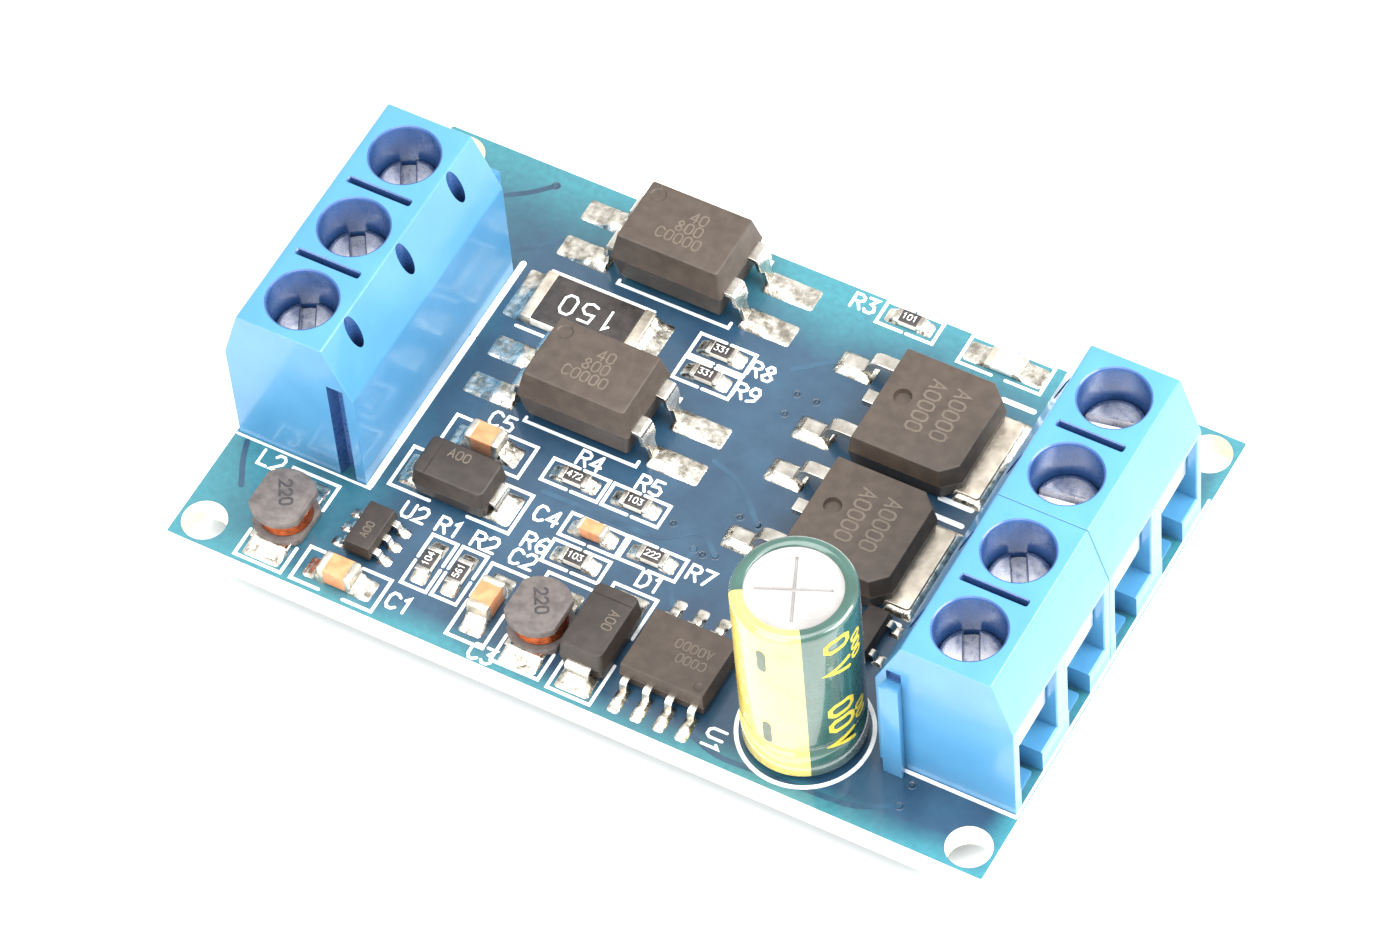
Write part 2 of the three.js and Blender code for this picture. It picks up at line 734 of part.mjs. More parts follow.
const capacitor = new THREE.Group();
capacitor.position.set(CAPACITOR.x, CAPACITOR.y, 0);
board.add(capacitor);
place(capacitor, 'capacitor_can', canSolid(), finish(COLOUR.aluminium, 0.35, 1));
place(capacitor, 'capacitor_sleeve', sleeveSolid(), finish(COLOUR.sleeve, 0.35));
place(capacitor, 'capacitor_bung', bungSolid(), finish(COLOUR.rubber, 0.8));
place(capacitor, 'capacitor_foil_roll', foilRollSolid(), finish(COLOUR.foil, 0.6));
[-1, 1].forEach((side, index) => {
  place(
    capacitor, `capacitor_lead_${index + 1}`, capacitorLeadSolid(), finish(COLOUR.tin, 0.3, 1),
    0, side * CAPACITOR.leadPitch / 2,
  );
});

export default part;
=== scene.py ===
"""The looks of an opto-isolated power driver module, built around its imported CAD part.

Shapes are drawn in millimetres over the board's face, z = 0 there, and placed in metres.
Places come from the boxes of the CAD nodes; the dimensions of fine detail are named below.
"""

import itertools
import json
import math
from math import cos, pi, radians, sin

import bmesh
import bpy
from mathutils import Matrix, Quaternion, Vector, noise

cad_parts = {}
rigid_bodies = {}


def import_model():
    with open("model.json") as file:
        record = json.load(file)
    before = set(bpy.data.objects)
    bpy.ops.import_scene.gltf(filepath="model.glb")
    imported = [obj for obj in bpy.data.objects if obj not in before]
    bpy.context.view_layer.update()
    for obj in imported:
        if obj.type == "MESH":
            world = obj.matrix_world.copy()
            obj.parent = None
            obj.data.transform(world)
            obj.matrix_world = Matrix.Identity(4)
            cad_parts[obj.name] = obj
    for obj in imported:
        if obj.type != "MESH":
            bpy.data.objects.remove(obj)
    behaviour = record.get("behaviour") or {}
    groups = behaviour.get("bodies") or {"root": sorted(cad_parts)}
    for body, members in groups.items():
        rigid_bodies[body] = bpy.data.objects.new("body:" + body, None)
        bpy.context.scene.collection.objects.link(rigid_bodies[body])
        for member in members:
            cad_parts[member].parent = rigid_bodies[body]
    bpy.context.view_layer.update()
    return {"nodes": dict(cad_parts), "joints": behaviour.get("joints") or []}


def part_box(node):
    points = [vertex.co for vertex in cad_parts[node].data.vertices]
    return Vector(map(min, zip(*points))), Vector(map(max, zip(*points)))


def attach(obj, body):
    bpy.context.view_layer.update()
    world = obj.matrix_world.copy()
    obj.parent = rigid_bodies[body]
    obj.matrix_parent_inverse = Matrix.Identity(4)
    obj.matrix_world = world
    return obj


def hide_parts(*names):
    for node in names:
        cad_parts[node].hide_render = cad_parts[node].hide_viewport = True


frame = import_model()

MM = 0.001
BOARD_LOW, BOARD_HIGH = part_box("circuit_board")
TOP = BOARD_HIGH.z
BOARD = (BOARD_HIGH - BOARD_LOW) / MM
ROOT = "board_assembly"
POLES = range(1, 8)
HINGES = {j["child"]: j["pos_m"] for j in frame["joints"] if j["type"] == "hinge"}
SCREW_AXES = [tuple(v / MM for v in HINGES[f"clamp_screw_{k}"][:2]) for k in POLES]

# ---------------------------------------------------------------- camera


def put_in_scene(name, data):
    made = bpy.data.objects.new(name, data)
    bpy.context.scene.collection.objects.link(made)
    return made


def outward(azimuth, elevation):
    """The way out from the board: degrees from -Y round to +X, then degrees up."""
    turn, rise = radians(azimuth), radians(elevation)
    return Vector((sin(turn) * cos(rise), -cos(turn) * cos(rise), sin(rise)))


def aim(made, target, back, distance, roll=0.0):
    """Stands a camera or a lamp back from its target, facing it."""
    made.location = target + back * distance
    made.rotation_mode = "QUATERNION"
    made.rotation_quaternion = (-back).to_track_quat("-Z", "Y") @ Quaternion((0, 0, 1), roll)


CAMERA = {
    "lens": 178.044, "sensor": 36, "distance": 349.776 * MM, "azimuth": 33.39,
    "elevation": 54.212, "roll": -5.671, "aim": (-0.891, 0.98),
}


def make_camera():
    data = bpy.data.cameras.new("camera")
    data.lens, data.sensor_width = CAMERA["lens"], CAMERA["sensor"]
    data.clip_start, data.clip_end = 0.01, 10
    camera = put_in_scene("camera", data)
    target = Vector((CAMERA["aim"][0] * MM, CAMERA["aim"][1] * MM, TOP))
    back = outward(CAMERA["azimuth"], CAMERA["elevation"])
    aim(camera, target, back, CAMERA["distance"], radians(CAMERA["roll"]))
    bpy.context.scene.camera = camera


make_camera()

# ---------------------------------------------------------------- shapes
# Each returns a bmesh in millimetres.


def ring_of(points, z):
    return [(x, y, z) for x, y in points]


def circle(radius, sides=48, x=0.0, y=0.0):
    step = 2 * pi / sides
    return [(x + radius * cos(i * step), y + radius * sin(i * step)) for i in range(sides)]


def rounded_rect(length, width, radius, steps=4):
    """A rectangle about the origin with round corners, anticlockwise."""
    radius = max(min(radius, length / 2 - 1e-4, width / 2 - 1e-4), 1e-4)
    points = []
    for corner, (sx, sy) in enumerate(((1, 1), (-1, 1), (-1, -1), (1, -1))):
        for k in range(steps + 1):
            angle = (corner + k / steps) * pi / 2
            points.append((
                sx * (length / 2 - radius) + radius * cos(angle),
                sy * (width / 2 - radius) + radius * sin(angle),
            ))
    return points


def loft(rings, closed=False):
    """A closed body through rings of equally many points; closed joins the last to the first."""
    bm = bmesh.new()
    loops = [[bm.verts.new(p) for p in ring] for ring in rings]
    pairs = list(zip(loops, loops[1:]))
    if closed:
        pairs.append((loops[-1], loops[0]))
    for low, high in pairs:
        for i in range(len(low)):
            j = (i + 1) % len(low)
            bm.faces.new((low[i], low[j], high[j], high[i]))
    if not closed:
        bm.faces.new(list(reversed(loops[0])))
        bm.faces.new(loops[-1])
    return bm


def soft_box(length, width, low, high, edge, corner=None, steps=3):
    """A box with rounded edges."""
    corner = corner or edge
    turns = [k / steps * pi / 2 for k in range(steps + 1)]
    levels = [(edge * (1 - sin(a)), low + edge * (1 - cos(a))) for a in turns]
    levels += [(edge * (1 - sin(a)), high - edge * (1 - cos(a))) for a in reversed(turns)]
    return loft([
        ring_of(rounded_rect(length - 2 * inset, width - 2 * inset, corner), z)
        for inset, z in levels
    ])


def moulded(length, width, bottom, waist, top, draft, corner=0.12, edge=0.1, plan=None):
    """A chip's body: widest at its parting line, with drafted walls and softened edges."""
    def outline(inset, z):
        shape = plan or rounded_rect
        return ring_of(shape(length - 2 * inset, width - 2 * inset, corner), z)

    seam = 0.03
    rings = [outline(draft + edge, bottom), outline(draft, bottom + edge)]
    rings += [outline(0.02, waist - seam), outline(0, waist), outline(0.02, waist + seam)]
    for angle in (0, pi / 6, pi / 3, pi / 2):
        inset = draft + edge * (1 - cos(angle))
        rings.append(outline(inset, top - edge + edge * sin(angle)))
    return loft(rings)


def turned(profile, sides=64, closed=False):
    """A radius-and-height profile turned about Z."""
    bm = bmesh.new()
    step = 2 * pi / sides
    loops = []
    for radius, z in profile:
        if radius < 1e-6:
            loops.append([bm.verts.new((0, 0, z))])
        else:
            loops.append([
                bm.verts.new((radius * cos(i * step), radius * sin(i * step), z))
                for i in range(sides)
            ])
    pairs = list(zip(loops, loops[1:]))
    if closed:
        pairs.append((loops[-1], loops[0]))
    for a, b in pairs:
        for i in range(sides):
            j = (i + 1) % sides
            corners = [a[i % len(a)], a[j % len(a)], b[j % len(b)], b[i % len(b)]]
            corners = list(dict.fromkeys(corners))
            if len(corners) > 2:
                bm.faces.new(corners)
    bmesh.ops.recalc_face_normals(bm, faces=bm.faces)
    return bm


def filleted(points, radius, steps=4):
    """An open run of points in a plane, with its inner corners rounded."""
    run = [Vector(p) for p in points]
    out = [run[0]]
    for before, here, after in zip(run, run[1:], run[2:]):
        reach = min(radius, (before - here).length * 0.45, (after - here).length * 0.45)
        a = here + (before - here).normalized() * reach
        b = here + (after - here).normalized() * reach
        for k in range(steps + 1):
            t = k / steps
            out.append(a * (1 - t) ** 2 + here * 2 * t * (1 - t) + b * t * t)
    out.append(run[-1])
    return [tuple(p) for p in out]


def prism(points, low, high):
    return loft([ring_of(points, low), ring_of(points, high)])


def strap(path, widths, thickness, bend=0.12):
    """A flat metal strip along a path in X and Z; widths are given at each point of the path."""
    marks = []
    run = filleted(path, bend, 3)
    lengths = [0.0]
    for a, b in zip(path, path[1:]):
        lengths.append(lengths[-1] + (Vector(b) - Vector(a)).length)
    travelled = 0.0
    for i, point in enumerate(run):
        if i:
            travelled += (Vector(point) - Vector(run[i - 1])).length
        place = min(travelled, lengths[-1])
        k = max(n for n in range(len(path) - 1) if lengths[n] <= place + 1e-9)
        share = (place - lengths[k]) / max(lengths[k + 1] - lengths[k], 1e-9)
        marks.append(widths[k] + (widths[k + 1] - widths[k]) * min(share, 1))
    rings = []
    for i, (x, z) in enumerate(run):
        a = Vector(run[max(i - 1, 0)])
        b = Vector(run[min(i + 1, len(run) - 1)])
        along = (b - a).normalized()
        side = Vector((-along.y, along.x)) * thickness / 2
        half = marks[i] / 2
        rings.append([
            (x - side.x, -half, z - side.y), (x - side.x, half, z - side.y),
            (x + side.x, half, z + side.y), (x + side.x, -half, z + side.y),
        ])
    return loft(rings)


# Printed lines that cross differ a little in thickness, so that no two tops lie in one plane.
INK = {"shades": 11, "step": 0.0009}
PRINT_ORDER = itertools.count()


def add_line(bm, points, width, low, high, closed=False, cap=5):
    """A printed line of one width: mitred corners, round ends, and its own thickness of ink."""
    high += next(PRINT_ORDER) % INK["shades"] * INK["step"]
    run = [Vector(p) for p in points]
    count = len(run)
    half = width / 2

    def direction(a, b):
        return (b - a).normalized()

    left, right = [], []
    for i, here in enumerate(run):
        before = run[i - 1] if i or closed else None
        after = run[(i + 1) % count] if i < count - 1 or closed else None
        d0 = direction(before, here) if before is not None else direction(here, after)
        d1 = direction(here, after) if after is not None else d0
        n0, n1 = Vector((-d0.y, d0.x)), Vector((-d1.y, d1.x))
        mitre = (n0 + n1).normalized()
        reach = half / max(mitre.dot(n0), 0.4)
        left.append(here + mitre * reach)
        right.append(here - mitre * reach)
    if closed:
        rows = []
        for loop in (left, right):
            rows.append([bm.verts.new((p.x, p.y, low)) for p in loop])
            rows.append([bm.verts.new((p.x, p.y, high)) for p in loop])
        order = [rows[0], rows[1], rows[3], rows[2]]
        for a, b in zip(order, order[1:] + order[:1]):
            for i in range(count):
                j = (i + 1) % count
                bm.faces.new((a[i], a[j], b[j], b[i]))
        return
    first, last = direction(run[0], run[1]), direction(run[-2], run[-1])

    def round_end(centre, facing):
        base = math.atan2(facing.y, facing.x)
        return [
            centre + Vector((cos(base + a), sin(base + a))) * half
            for a in (pi / 2 - pi * k / cap for k in range(1, cap))
        ]

    loop = left + round_end(run[-1], last) + right[::-1] + round_end(run[0], -first)
    bottom = [bm.verts.new((p.x, p.y, low)) for p in loop]
    top = [bm.verts.new((p.x, p.y, high)) for p in loop]
    for i in range(len(loop)):
        j = (i + 1) % len(loop)
        bm.faces.new((bottom[i], bottom[j], top[j], top[i]))
    ends = [bm.faces.new(top), bm.faces.new(bottom[::-1])]
    for end in ends:
        end.normal_update()
    bmesh.ops.triangulate(bm, faces=ends)


def merge(target, source, matrix=None):
    """Adds one bmesh to another, moved by matrix."""
    if matrix is not None:
        source.transform(matrix)
    made = bpy.data.meshes.new("part")
    source.to_mesh(made)
    target.from_mesh(made)
    bpy.data.meshes.remove(made)
    source.free()
    return target


def spot(x=0.0, y=0.0, z=0.0, turn=0.0):
    return Matrix.Translation((x, y, z)) @ Matrix.Rotation(turn, 4, "Z")


# ---------------------------------------------------------------- strokes for printed marks

# Each stroke is a run of points in a box 0.6 wide and 1 high; one that comes back to its start is
# a ring.
STROKES = {
    "0": [[(0, .2), (0, .8), (.15, 1), (.45, 1), (.6, .8), (.6, .2), (.45, 0), (.15, 0), (0, .2)]],
    "1": [[(.1, .8), (.3, 1), (.3, 0)]],
    "2": [[(0, .8), (.15, 1), (.45, 1), (.6, .8), (.55, .5), (0, 0), (.6, 0)]],
    "3": [[(0, 1), (.55, 1), (.25, .6), (.5, .5), (.6, .2), (.4, 0), (.1, 0), (0, .15)]],
    "4": [[(.45, 0), (.45, 1)], [(.45, 1), (0, .3), (.6, .3)]],
    "5": [[(.55, 1), (.05, 1), (0, .55), (.4, .6), (.6, .4), (.55, .1), (.3, 0), (0, .1)]],
    "6": [[(.55, .9), (.3, 1), (.05, .7), (0, .3)],
          [(0, .3), (.2, 0), (.5, .05), (.6, .3), (.45, .5), (.12, .5), (0, .3)]],
    "7": [[(0, 1), (.6, 1), (.2, 0)]],
    "8": [[(.3, .53), (.05, .75), (.2, 1), (.4, 1), (.55, .75), (.3, .53)],
          [(.3, .53), (0, .25), (.15, 0), (.45, 0), (.6, .25), (.3, .53)]],
    "9": [[(.5, .5), (.15, .5), (0, .7), (.15, 1), (.45, 1), (.6, .7), (.5, .5)],
          [(.6, .7), (.5, .2), (.1, 0)]],
    "A": [[(0, 0), (.3, 1), (.6, 0)], [(.12, .35), (.48, .35)]],
    "C": [[(.6, .85), (.4, 1), (.15, 1), (0, .75), (0, .25), (.15, 0), (.4, 0), (.6, .15)]],
    "D": [[(0, 0), (0, 1), (.35, 1), (.6, .7), (.6, .3), (.35, 0), (0, 0)]],
    "L": [[(0, 1), (0, 0), (.55, 0)]],
    "R": [[(0, 0), (0, .5)], [(0, .5), (0, 1), (.4, 1), (.6, .85), (.6, .65), (.4, .5), (0, .5)],
          [(.3, .5), (.6, 0)]],
    "U": [[(0, 1), (0, .2), (.15, 0), (.45, 0), (.6, .2), (.6, 1)]],
    "V": [[(0, 1), (.3, 0), (.6, 1)]],
}


def add_text(bm, text, x, y, height, turn, width, low, high, spacing=0.85):
    """Stroke lettering that starts at x, y and runs in the direction turn."""
    along = Vector((cos(turn), sin(turn)))
    up = Vector((-sin(turn), cos(turn)))
    for index, letter in enumerate(text):
        for stroke in STROKES.get(letter, []):
            run = [
                Vector((x, y)) + along * (px + index * spacing) * height + up * py * height
                for px, py in stroke
            ]
            ring = stroke[0] == stroke[-1]
            add_line(bm, run[:-1] if ring else run, width, low, high, ring, cap=4)


# ---------------------------------------------------------------- pieces


def piece(name, bm, look, body=ROOT, replaces=None, at=None, bevel=0.0, sharp=38,
          millimetres=True, inside=None, slot=None):
    """Makes one visible piece from a bmesh and hangs it on a CAD body.

    look is a key of LOOKS; the slot, given or else found from look, is worked out but not used.
    inside is a second look, painted shade: a darker copy for the faces of hollows.
    """
    if at is not None:
        bm.transform(at)
    if millimetres:
        bm.transform(Matrix.Translation((0, 0, TOP)) @ Matrix.Scale(MM, 4))
    bmesh.ops.recalc_face_normals(bm, faces=bm.faces)
    mesh = bpy.data.meshes.new(name)
    bm.to_mesh(mesh)
    bm.free()
    for polygon in mesh.polygons:
        polygon.use_smooth = True
        # Faces left by painted-shade cutters keep index 1, the darker look, when inside is given.
        polygon.material_index = min(polygon.material_index, int(bool(inside)))
    if not bevel:
        mesh.set_sharp_from_angle(angle=radians(sharp))
    made = put_in_scene(name, mesh)
    if bevel:
        soften(made, bevel, sharp)
    for key in (look, inside) if inside else (look,):
        mesh.materials.append(LOOKS[key])
    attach(made, body)
    if replaces:
        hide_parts(replaces)
    slot = slot or SLOT_OF.get(look)
    return made


def soften(made, width, limit):
    """Rounds the edges of a piece that are sharper than limit, by width in millimetres."""
    bevel = made.modifiers.new("edges", "BEVEL")
    bevel.width = width * MM
    bevel.segments = 2
    bevel.limit_method = "ANGLE"
    bevel.angle_limit = radians(limit)
    bevel.harden_normals = True
    bevel.use_clamp_overlap = True


def bmesh_of(node):
    """A CAD node's shape in metres, with its flat faces made whole again."""
    bm = bmesh.new()
    bm.from_mesh(frame["nodes"][node].data)
    bmesh.ops.remove_doubles(bm, verts=bm.verts, dist=1e-6)
    bmesh.ops.dissolve_limit(bm, angle_limit=radians(1), verts=bm.verts, edges=bm.edges)
    return bm


def refined(node, look, body=ROOT, bevel=0.05):
    """A piece with a CAD node's own shape and rounded edges, which stands for that node."""
    return piece(f"{node}_fine", bmesh_of(node), look, body, node, bevel=bevel, millimetres=False)


def middle(node):
    """The middle of a CAD node's box, in millimetres from the middle of the board's face."""
    low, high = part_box(node)
    centre = (low + high) / 2 / MM
    return centre.x, centre.y


def with_painted_shade(cutter):
    """Marks the faces a cutter leaves for painted shade, the darker copy of the look on the walls
    of hollows.
    """
    for face in cutter.faces:
        face.material_index = 1
    return cutter


def carve(bm, *cutters):
    """Cuts closed bmeshes out of a bmesh, exactly; a cut's faces keep the cutter's material."""
    scene = bpy.context.scene.collection

    def temporary(shape, name):
        mesh = bpy.data.meshes.new(name)
        bmesh.ops.recalc_face_normals(shape, faces=shape.faces)
        shape.to_mesh(mesh)
        mesh.materials.append(None)
        mesh.materials.append(None)
        shape.free()
        return bpy.data.objects.new(name, mesh)

    body = temporary(bm, "carved")
    scene.objects.link(body)
    tools = bpy.data.collections.new("tools")
    scene.children.link(tools)
    for cutter in cutters:
        tools.objects.link(temporary(cutter, "cutter"))
    cut = body.modifiers.new("cut", "BOOLEAN")
    cut.operation, cut.solver, cut.operand_type = "DIFFERENCE", "EXACT", "COLLECTION"
    cut.collection = tools
    cut.use_self = True
    evaluated = body.evaluated_get(bpy.context.evaluated_depsgraph_get())
    result = bmesh.new()
    result.from_mesh(evaluated.to_mesh())
    evaluated.to_mesh_clear()
    for used in [body, *tools.objects]:
        bpy.data.meshes.remove(used.data)
    bpy.data.collections.remove(tools)
    bmesh.ops.remove_doubles(result, verts=result.verts, dist=1e-4)
    bmesh.ops.dissolve_limit(
        result, angle_limit=radians(0.5), verts=result.verts, edges=result.edges,
        delimit={"MATERIAL"},
    )
    return result


class Part:
    """A component under construction: it makes the pieces of one node, where that node is."""

    def __init__(self, node, turn=0.0, at=None):
        self.node = node
        self.at = spot(*middle(node), 0, turn) if at is None else at

    def add(self, what, bm, look, **options):
        return piece(f"{self.node}_{what}", bm, look, at=self.at, **options)

    def stand_in(self, what, bm, look, **options):
        """The piece that stands for the node."""
        return self.add(what, bm, look, replaces=self.node, **options)

    def leads(self, bm, bevel):
        return self.add("leads", bm, "lead", bevel=bevel, sharp=50)

    def solder(self, pads, spread=None):
        """The pads, each a box with the feet that stand on it."""
        bm = bmesh.new()
        for box, feet in pads:
            add_pad(bm, box, feet, spread)
        return self.add("solder", bm, "solder", sharp=60)

    def marking(self, lines, top):
        """Laser marking: each line is (text, x, y, height, turn)."""
        bm = bmesh.new()
        for text, x, y, height, turn in lines:
            add_text(bm, text, x, y, height, turn, height * 0.15, top - 0.006, top + 0.004)
        return self.add("marks", bm, "mark")


# ---------------------------------------------------------------- materials


def linear(red, green, blue):
    """A colour from 0 to 255 a channel, as light."""
    return tuple(
        c / 255 / 12.92 if c <= 10 else ((c / 255 + 0.055) / 1.055) ** 2.4
        for c in (red, green, blue)
    ) + (1.0,)


class Look:
    """A material under construction: nodes are added by kind, with inputs by name."""

    def __init__(self, name, **shader):
        self.material = bpy.data.materials.new(name)
        self.material.use_nodes = True
        self.tree = self.material.node_tree
        self.tree.nodes.clear()
        output = self.tree.nodes.new("ShaderNodeOutputMaterial")
        self.shader = self.add("BsdfPrincipled", **shader)
        self.tree.links.new(self.shader.outputs[0], output.inputs[0])
        self.place = self.add("TexCoord").outputs["Object"]

    def add(self, kind, settings=None, **inputs):
        node = self.tree.nodes.new("ShaderNode" + kind)
        for key, value in (settings or {}).items():
            setattr(node, key, value)
        for key, value in inputs.items():
            self.set(node, key.replace("_", " "), value)
        return node

    def set(self, node, key, value):
        socket = node.inputs[int(key)] if key.isdigit() else node.inputs[key]
        if isinstance(value, bpy.types.NodeSocket):
            self.tree.links.new(value, socket)
        else:
            socket.default_value = value

    def math(self, operation, a, b=0.0, clamp=False):
        node = self.add("Math", {"operation": operation, "use_clamp": clamp})
        self.set(node, "0", a)
        self.set(node, "1", b)
        return node.outputs[0]

    def noise(self, size, detail=3.0, stretch=None):
        """Soft noise whose features are about size millimetres across."""
        where = self.place
        if stretch:
            where = self.add("Mapping", Vector=where, Scale=stretch).outputs[0]
        node = self.add("TexNoise", Vector=where, Scale=1 / (size * MM), Detail=detail)
        return node.outputs["Fac"]

    def mix(self, share, a, b):
        node = self.add("Mix", {"data_type": "RGBA"})
        for key, value in (("0", share), ("6", a), ("7", b)):
            self.set(node, key, value)
        return node.outputs[2]

    def mottled(self, size, dark, light):
        """Soft mottles of two colours, about size millimetres across."""
        share = self.spread(self.noise(size), 0.3, 0.7)
        return self.mix(share, linear(*dark), linear(*light))

    def spread(self, value, low, high, to_low=0.0, to_high=1.0):
        node = self.add("MapRange", Value=value)
        for key, number in zip(("1", "2", "3", "4"), (low, high, to_low, to_high)):
            self.set(node, key, number)
        return node.outputs[0]

    def colour(self, socket):
        self.set(self.shader, "Base Color", socket)

    def rough(self, value, low, high):
        """Roughness between two values, as value goes up through its middle range."""
        self.set(self.shader, "Roughness", self.spread(value, 0.3, 0.7, low, high))

    def bump(self, height, distance):
        """Relief from a height between 0 and 1, its depth in millimetres."""
        node = self.add("Bump", Height=height, Distance=distance * MM, Strength=1.0)
        self.set(self.shader, "Normal", node.outputs[0])


def plain(name, dark, light, rough, grain, relief=0.004, mottle=1.2, spread=0.08, **shader):
    """Two shades of one colour in soft mottles, with fine grain in its relief and roughness."""
    look = Look(name, **shader)
    soft = look.noise(mottle)
    fine = look.noise(grain, 4)
    look.colour(look.mix(look.spread(soft, 0.35, 0.65), linear(*dark), linear(*light)))
    look.rough(fine, rough - spread, rough + spread)
    look.bump(fine, relief)
    return look.material


# How wide the bare, greener margin is along each edge, in millimetres: axis, then side.
MASK_MARGINS = {(0, -1): 9.0, (0, 1): 1.4, (1, -1): 1.5, (1, 1): 5.0}


def mask_look():
    """Solder mask: bluer over the copper in the middle, greener towards the bare edges."""
    look = Look("solder_mask", Coat_Weight=0.5, Coat_Roughness=0.08, IOR=1.5)
    split = look.add("SeparateXYZ", Vector=look.place)
    margins = []
    for axis, half in ((0, BOARD.x / 2), (1, BOARD.y / 2)):
        for sign in (-1, 1):
            inward = look.math("MULTIPLY", split.outputs[axis], -sign)
            inward = look.math("ADD", inward, half * MM)
            margins.append(look.math("DIVIDE", inward, MASK_MARGINS[axis, sign]))
    along, across = look.math("MINIMUM", *margins[:2]), look.math("MINIMUM", *margins[2:])
    edge = look.math("MINIMUM", along, across)
    wander = look.spread(look.noise(5.0), 0.3, 0.7, -0.18 * MM, 0.18 * MM)
    depth = look.spread(look.math("ADD", edge, wander), 0.1 * MM, 1.0 * MM)
    copper = look.mottled(2.2, (26, 55, 78), (36, 70, 93))
    base = look.mix(depth, linear(50, 121, 131), copper)
    cloudy = look.spread(look.noise(0.35, 5), 0.3, 0.7)
    look.colour(look.mix(look.math("MULTIPLY", cloudy, 0.25), base, linear(20, 50, 74)))
    look.rough(look.noise(0.5), 0.3, 0.45)
    weave = look.add("TexWave", {"wave_type": "BANDS", "bands_direction": "DIAGONAL"},
                     Vector=look.place, Scale=1 / (1.1 * MM), Distortion=1.5)
    height = look.math("ADD", look.math("MULTIPLY", weave.outputs["Fac"], 0.15), look.noise(0.3, 3))
    look.bump(height, 0.006)
    return look.material


def sleeve_look(centre):
    """Dark green vinyl with one pale stripe along the can; centre is the can's axis in metres."""
    look = Look("capacitor_sleeve", Coat_Weight=1.0, Coat_Roughness=0.04, Coat_IOR=1.6, IOR=1.5)
    split = look.add("SeparateXYZ", Vector=look.place)
    angle = look.math(
        "ARCTAN2", look.math("SUBTRACT", split.outputs[1], centre[1]),
        look.math("SUBTRACT", split.outputs[0], centre[0]),
    )
    off = look.math("ABSOLUTE", look.math("SUBTRACT", angle, radians(STRIPE["middle"])))
    half = radians(STRIPE["half_width"])
    inside = look.spread(off, half - 0.01, half + 0.01, 1.0, 0.0)
    green = look.mottled(1.5, (30, 66, 56), (42, 82, 72))
    yellow = look.mottled(1.5, (226, 200, 84), (234, 212, 104))
    look.colour(look.mix(inside, green, yellow))
    look.rough(look.noise(0.8), 0.22, 0.34)
    look.bump(look.noise(0.9, 2), 0.012)
    return look.material


def laminate_look():
    """Cut glass-epoxy: thin layers of cloth on edge."""
    look = Look("laminate", IOR=1.5)
    layers = look.noise(0.9, 4, stretch=(1, 1, 9))
    pale, white = linear(224, 218, 194), linear(242, 238, 220)
    look.colour(look.mix(look.spread(layers, 0.35, 0.65), pale, white))
    look.rough(layers, 0.55, 0.8)
    look.bump(layers, 0.02)
    return look.material


STRIPE = {"middle": -103, "half_width": 47}
SLEEVE_CENTRE = (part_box("capacitor_sleeve")[0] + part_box("capacitor_sleeve")[1]) / 2

MASK_COAT = {"Coat_Weight": 0.5, "Coat_Roughness": 0.08}
PLASTIC_COAT = {"Coat_Weight": 0.4, "Coat_Roughness": 0.12}

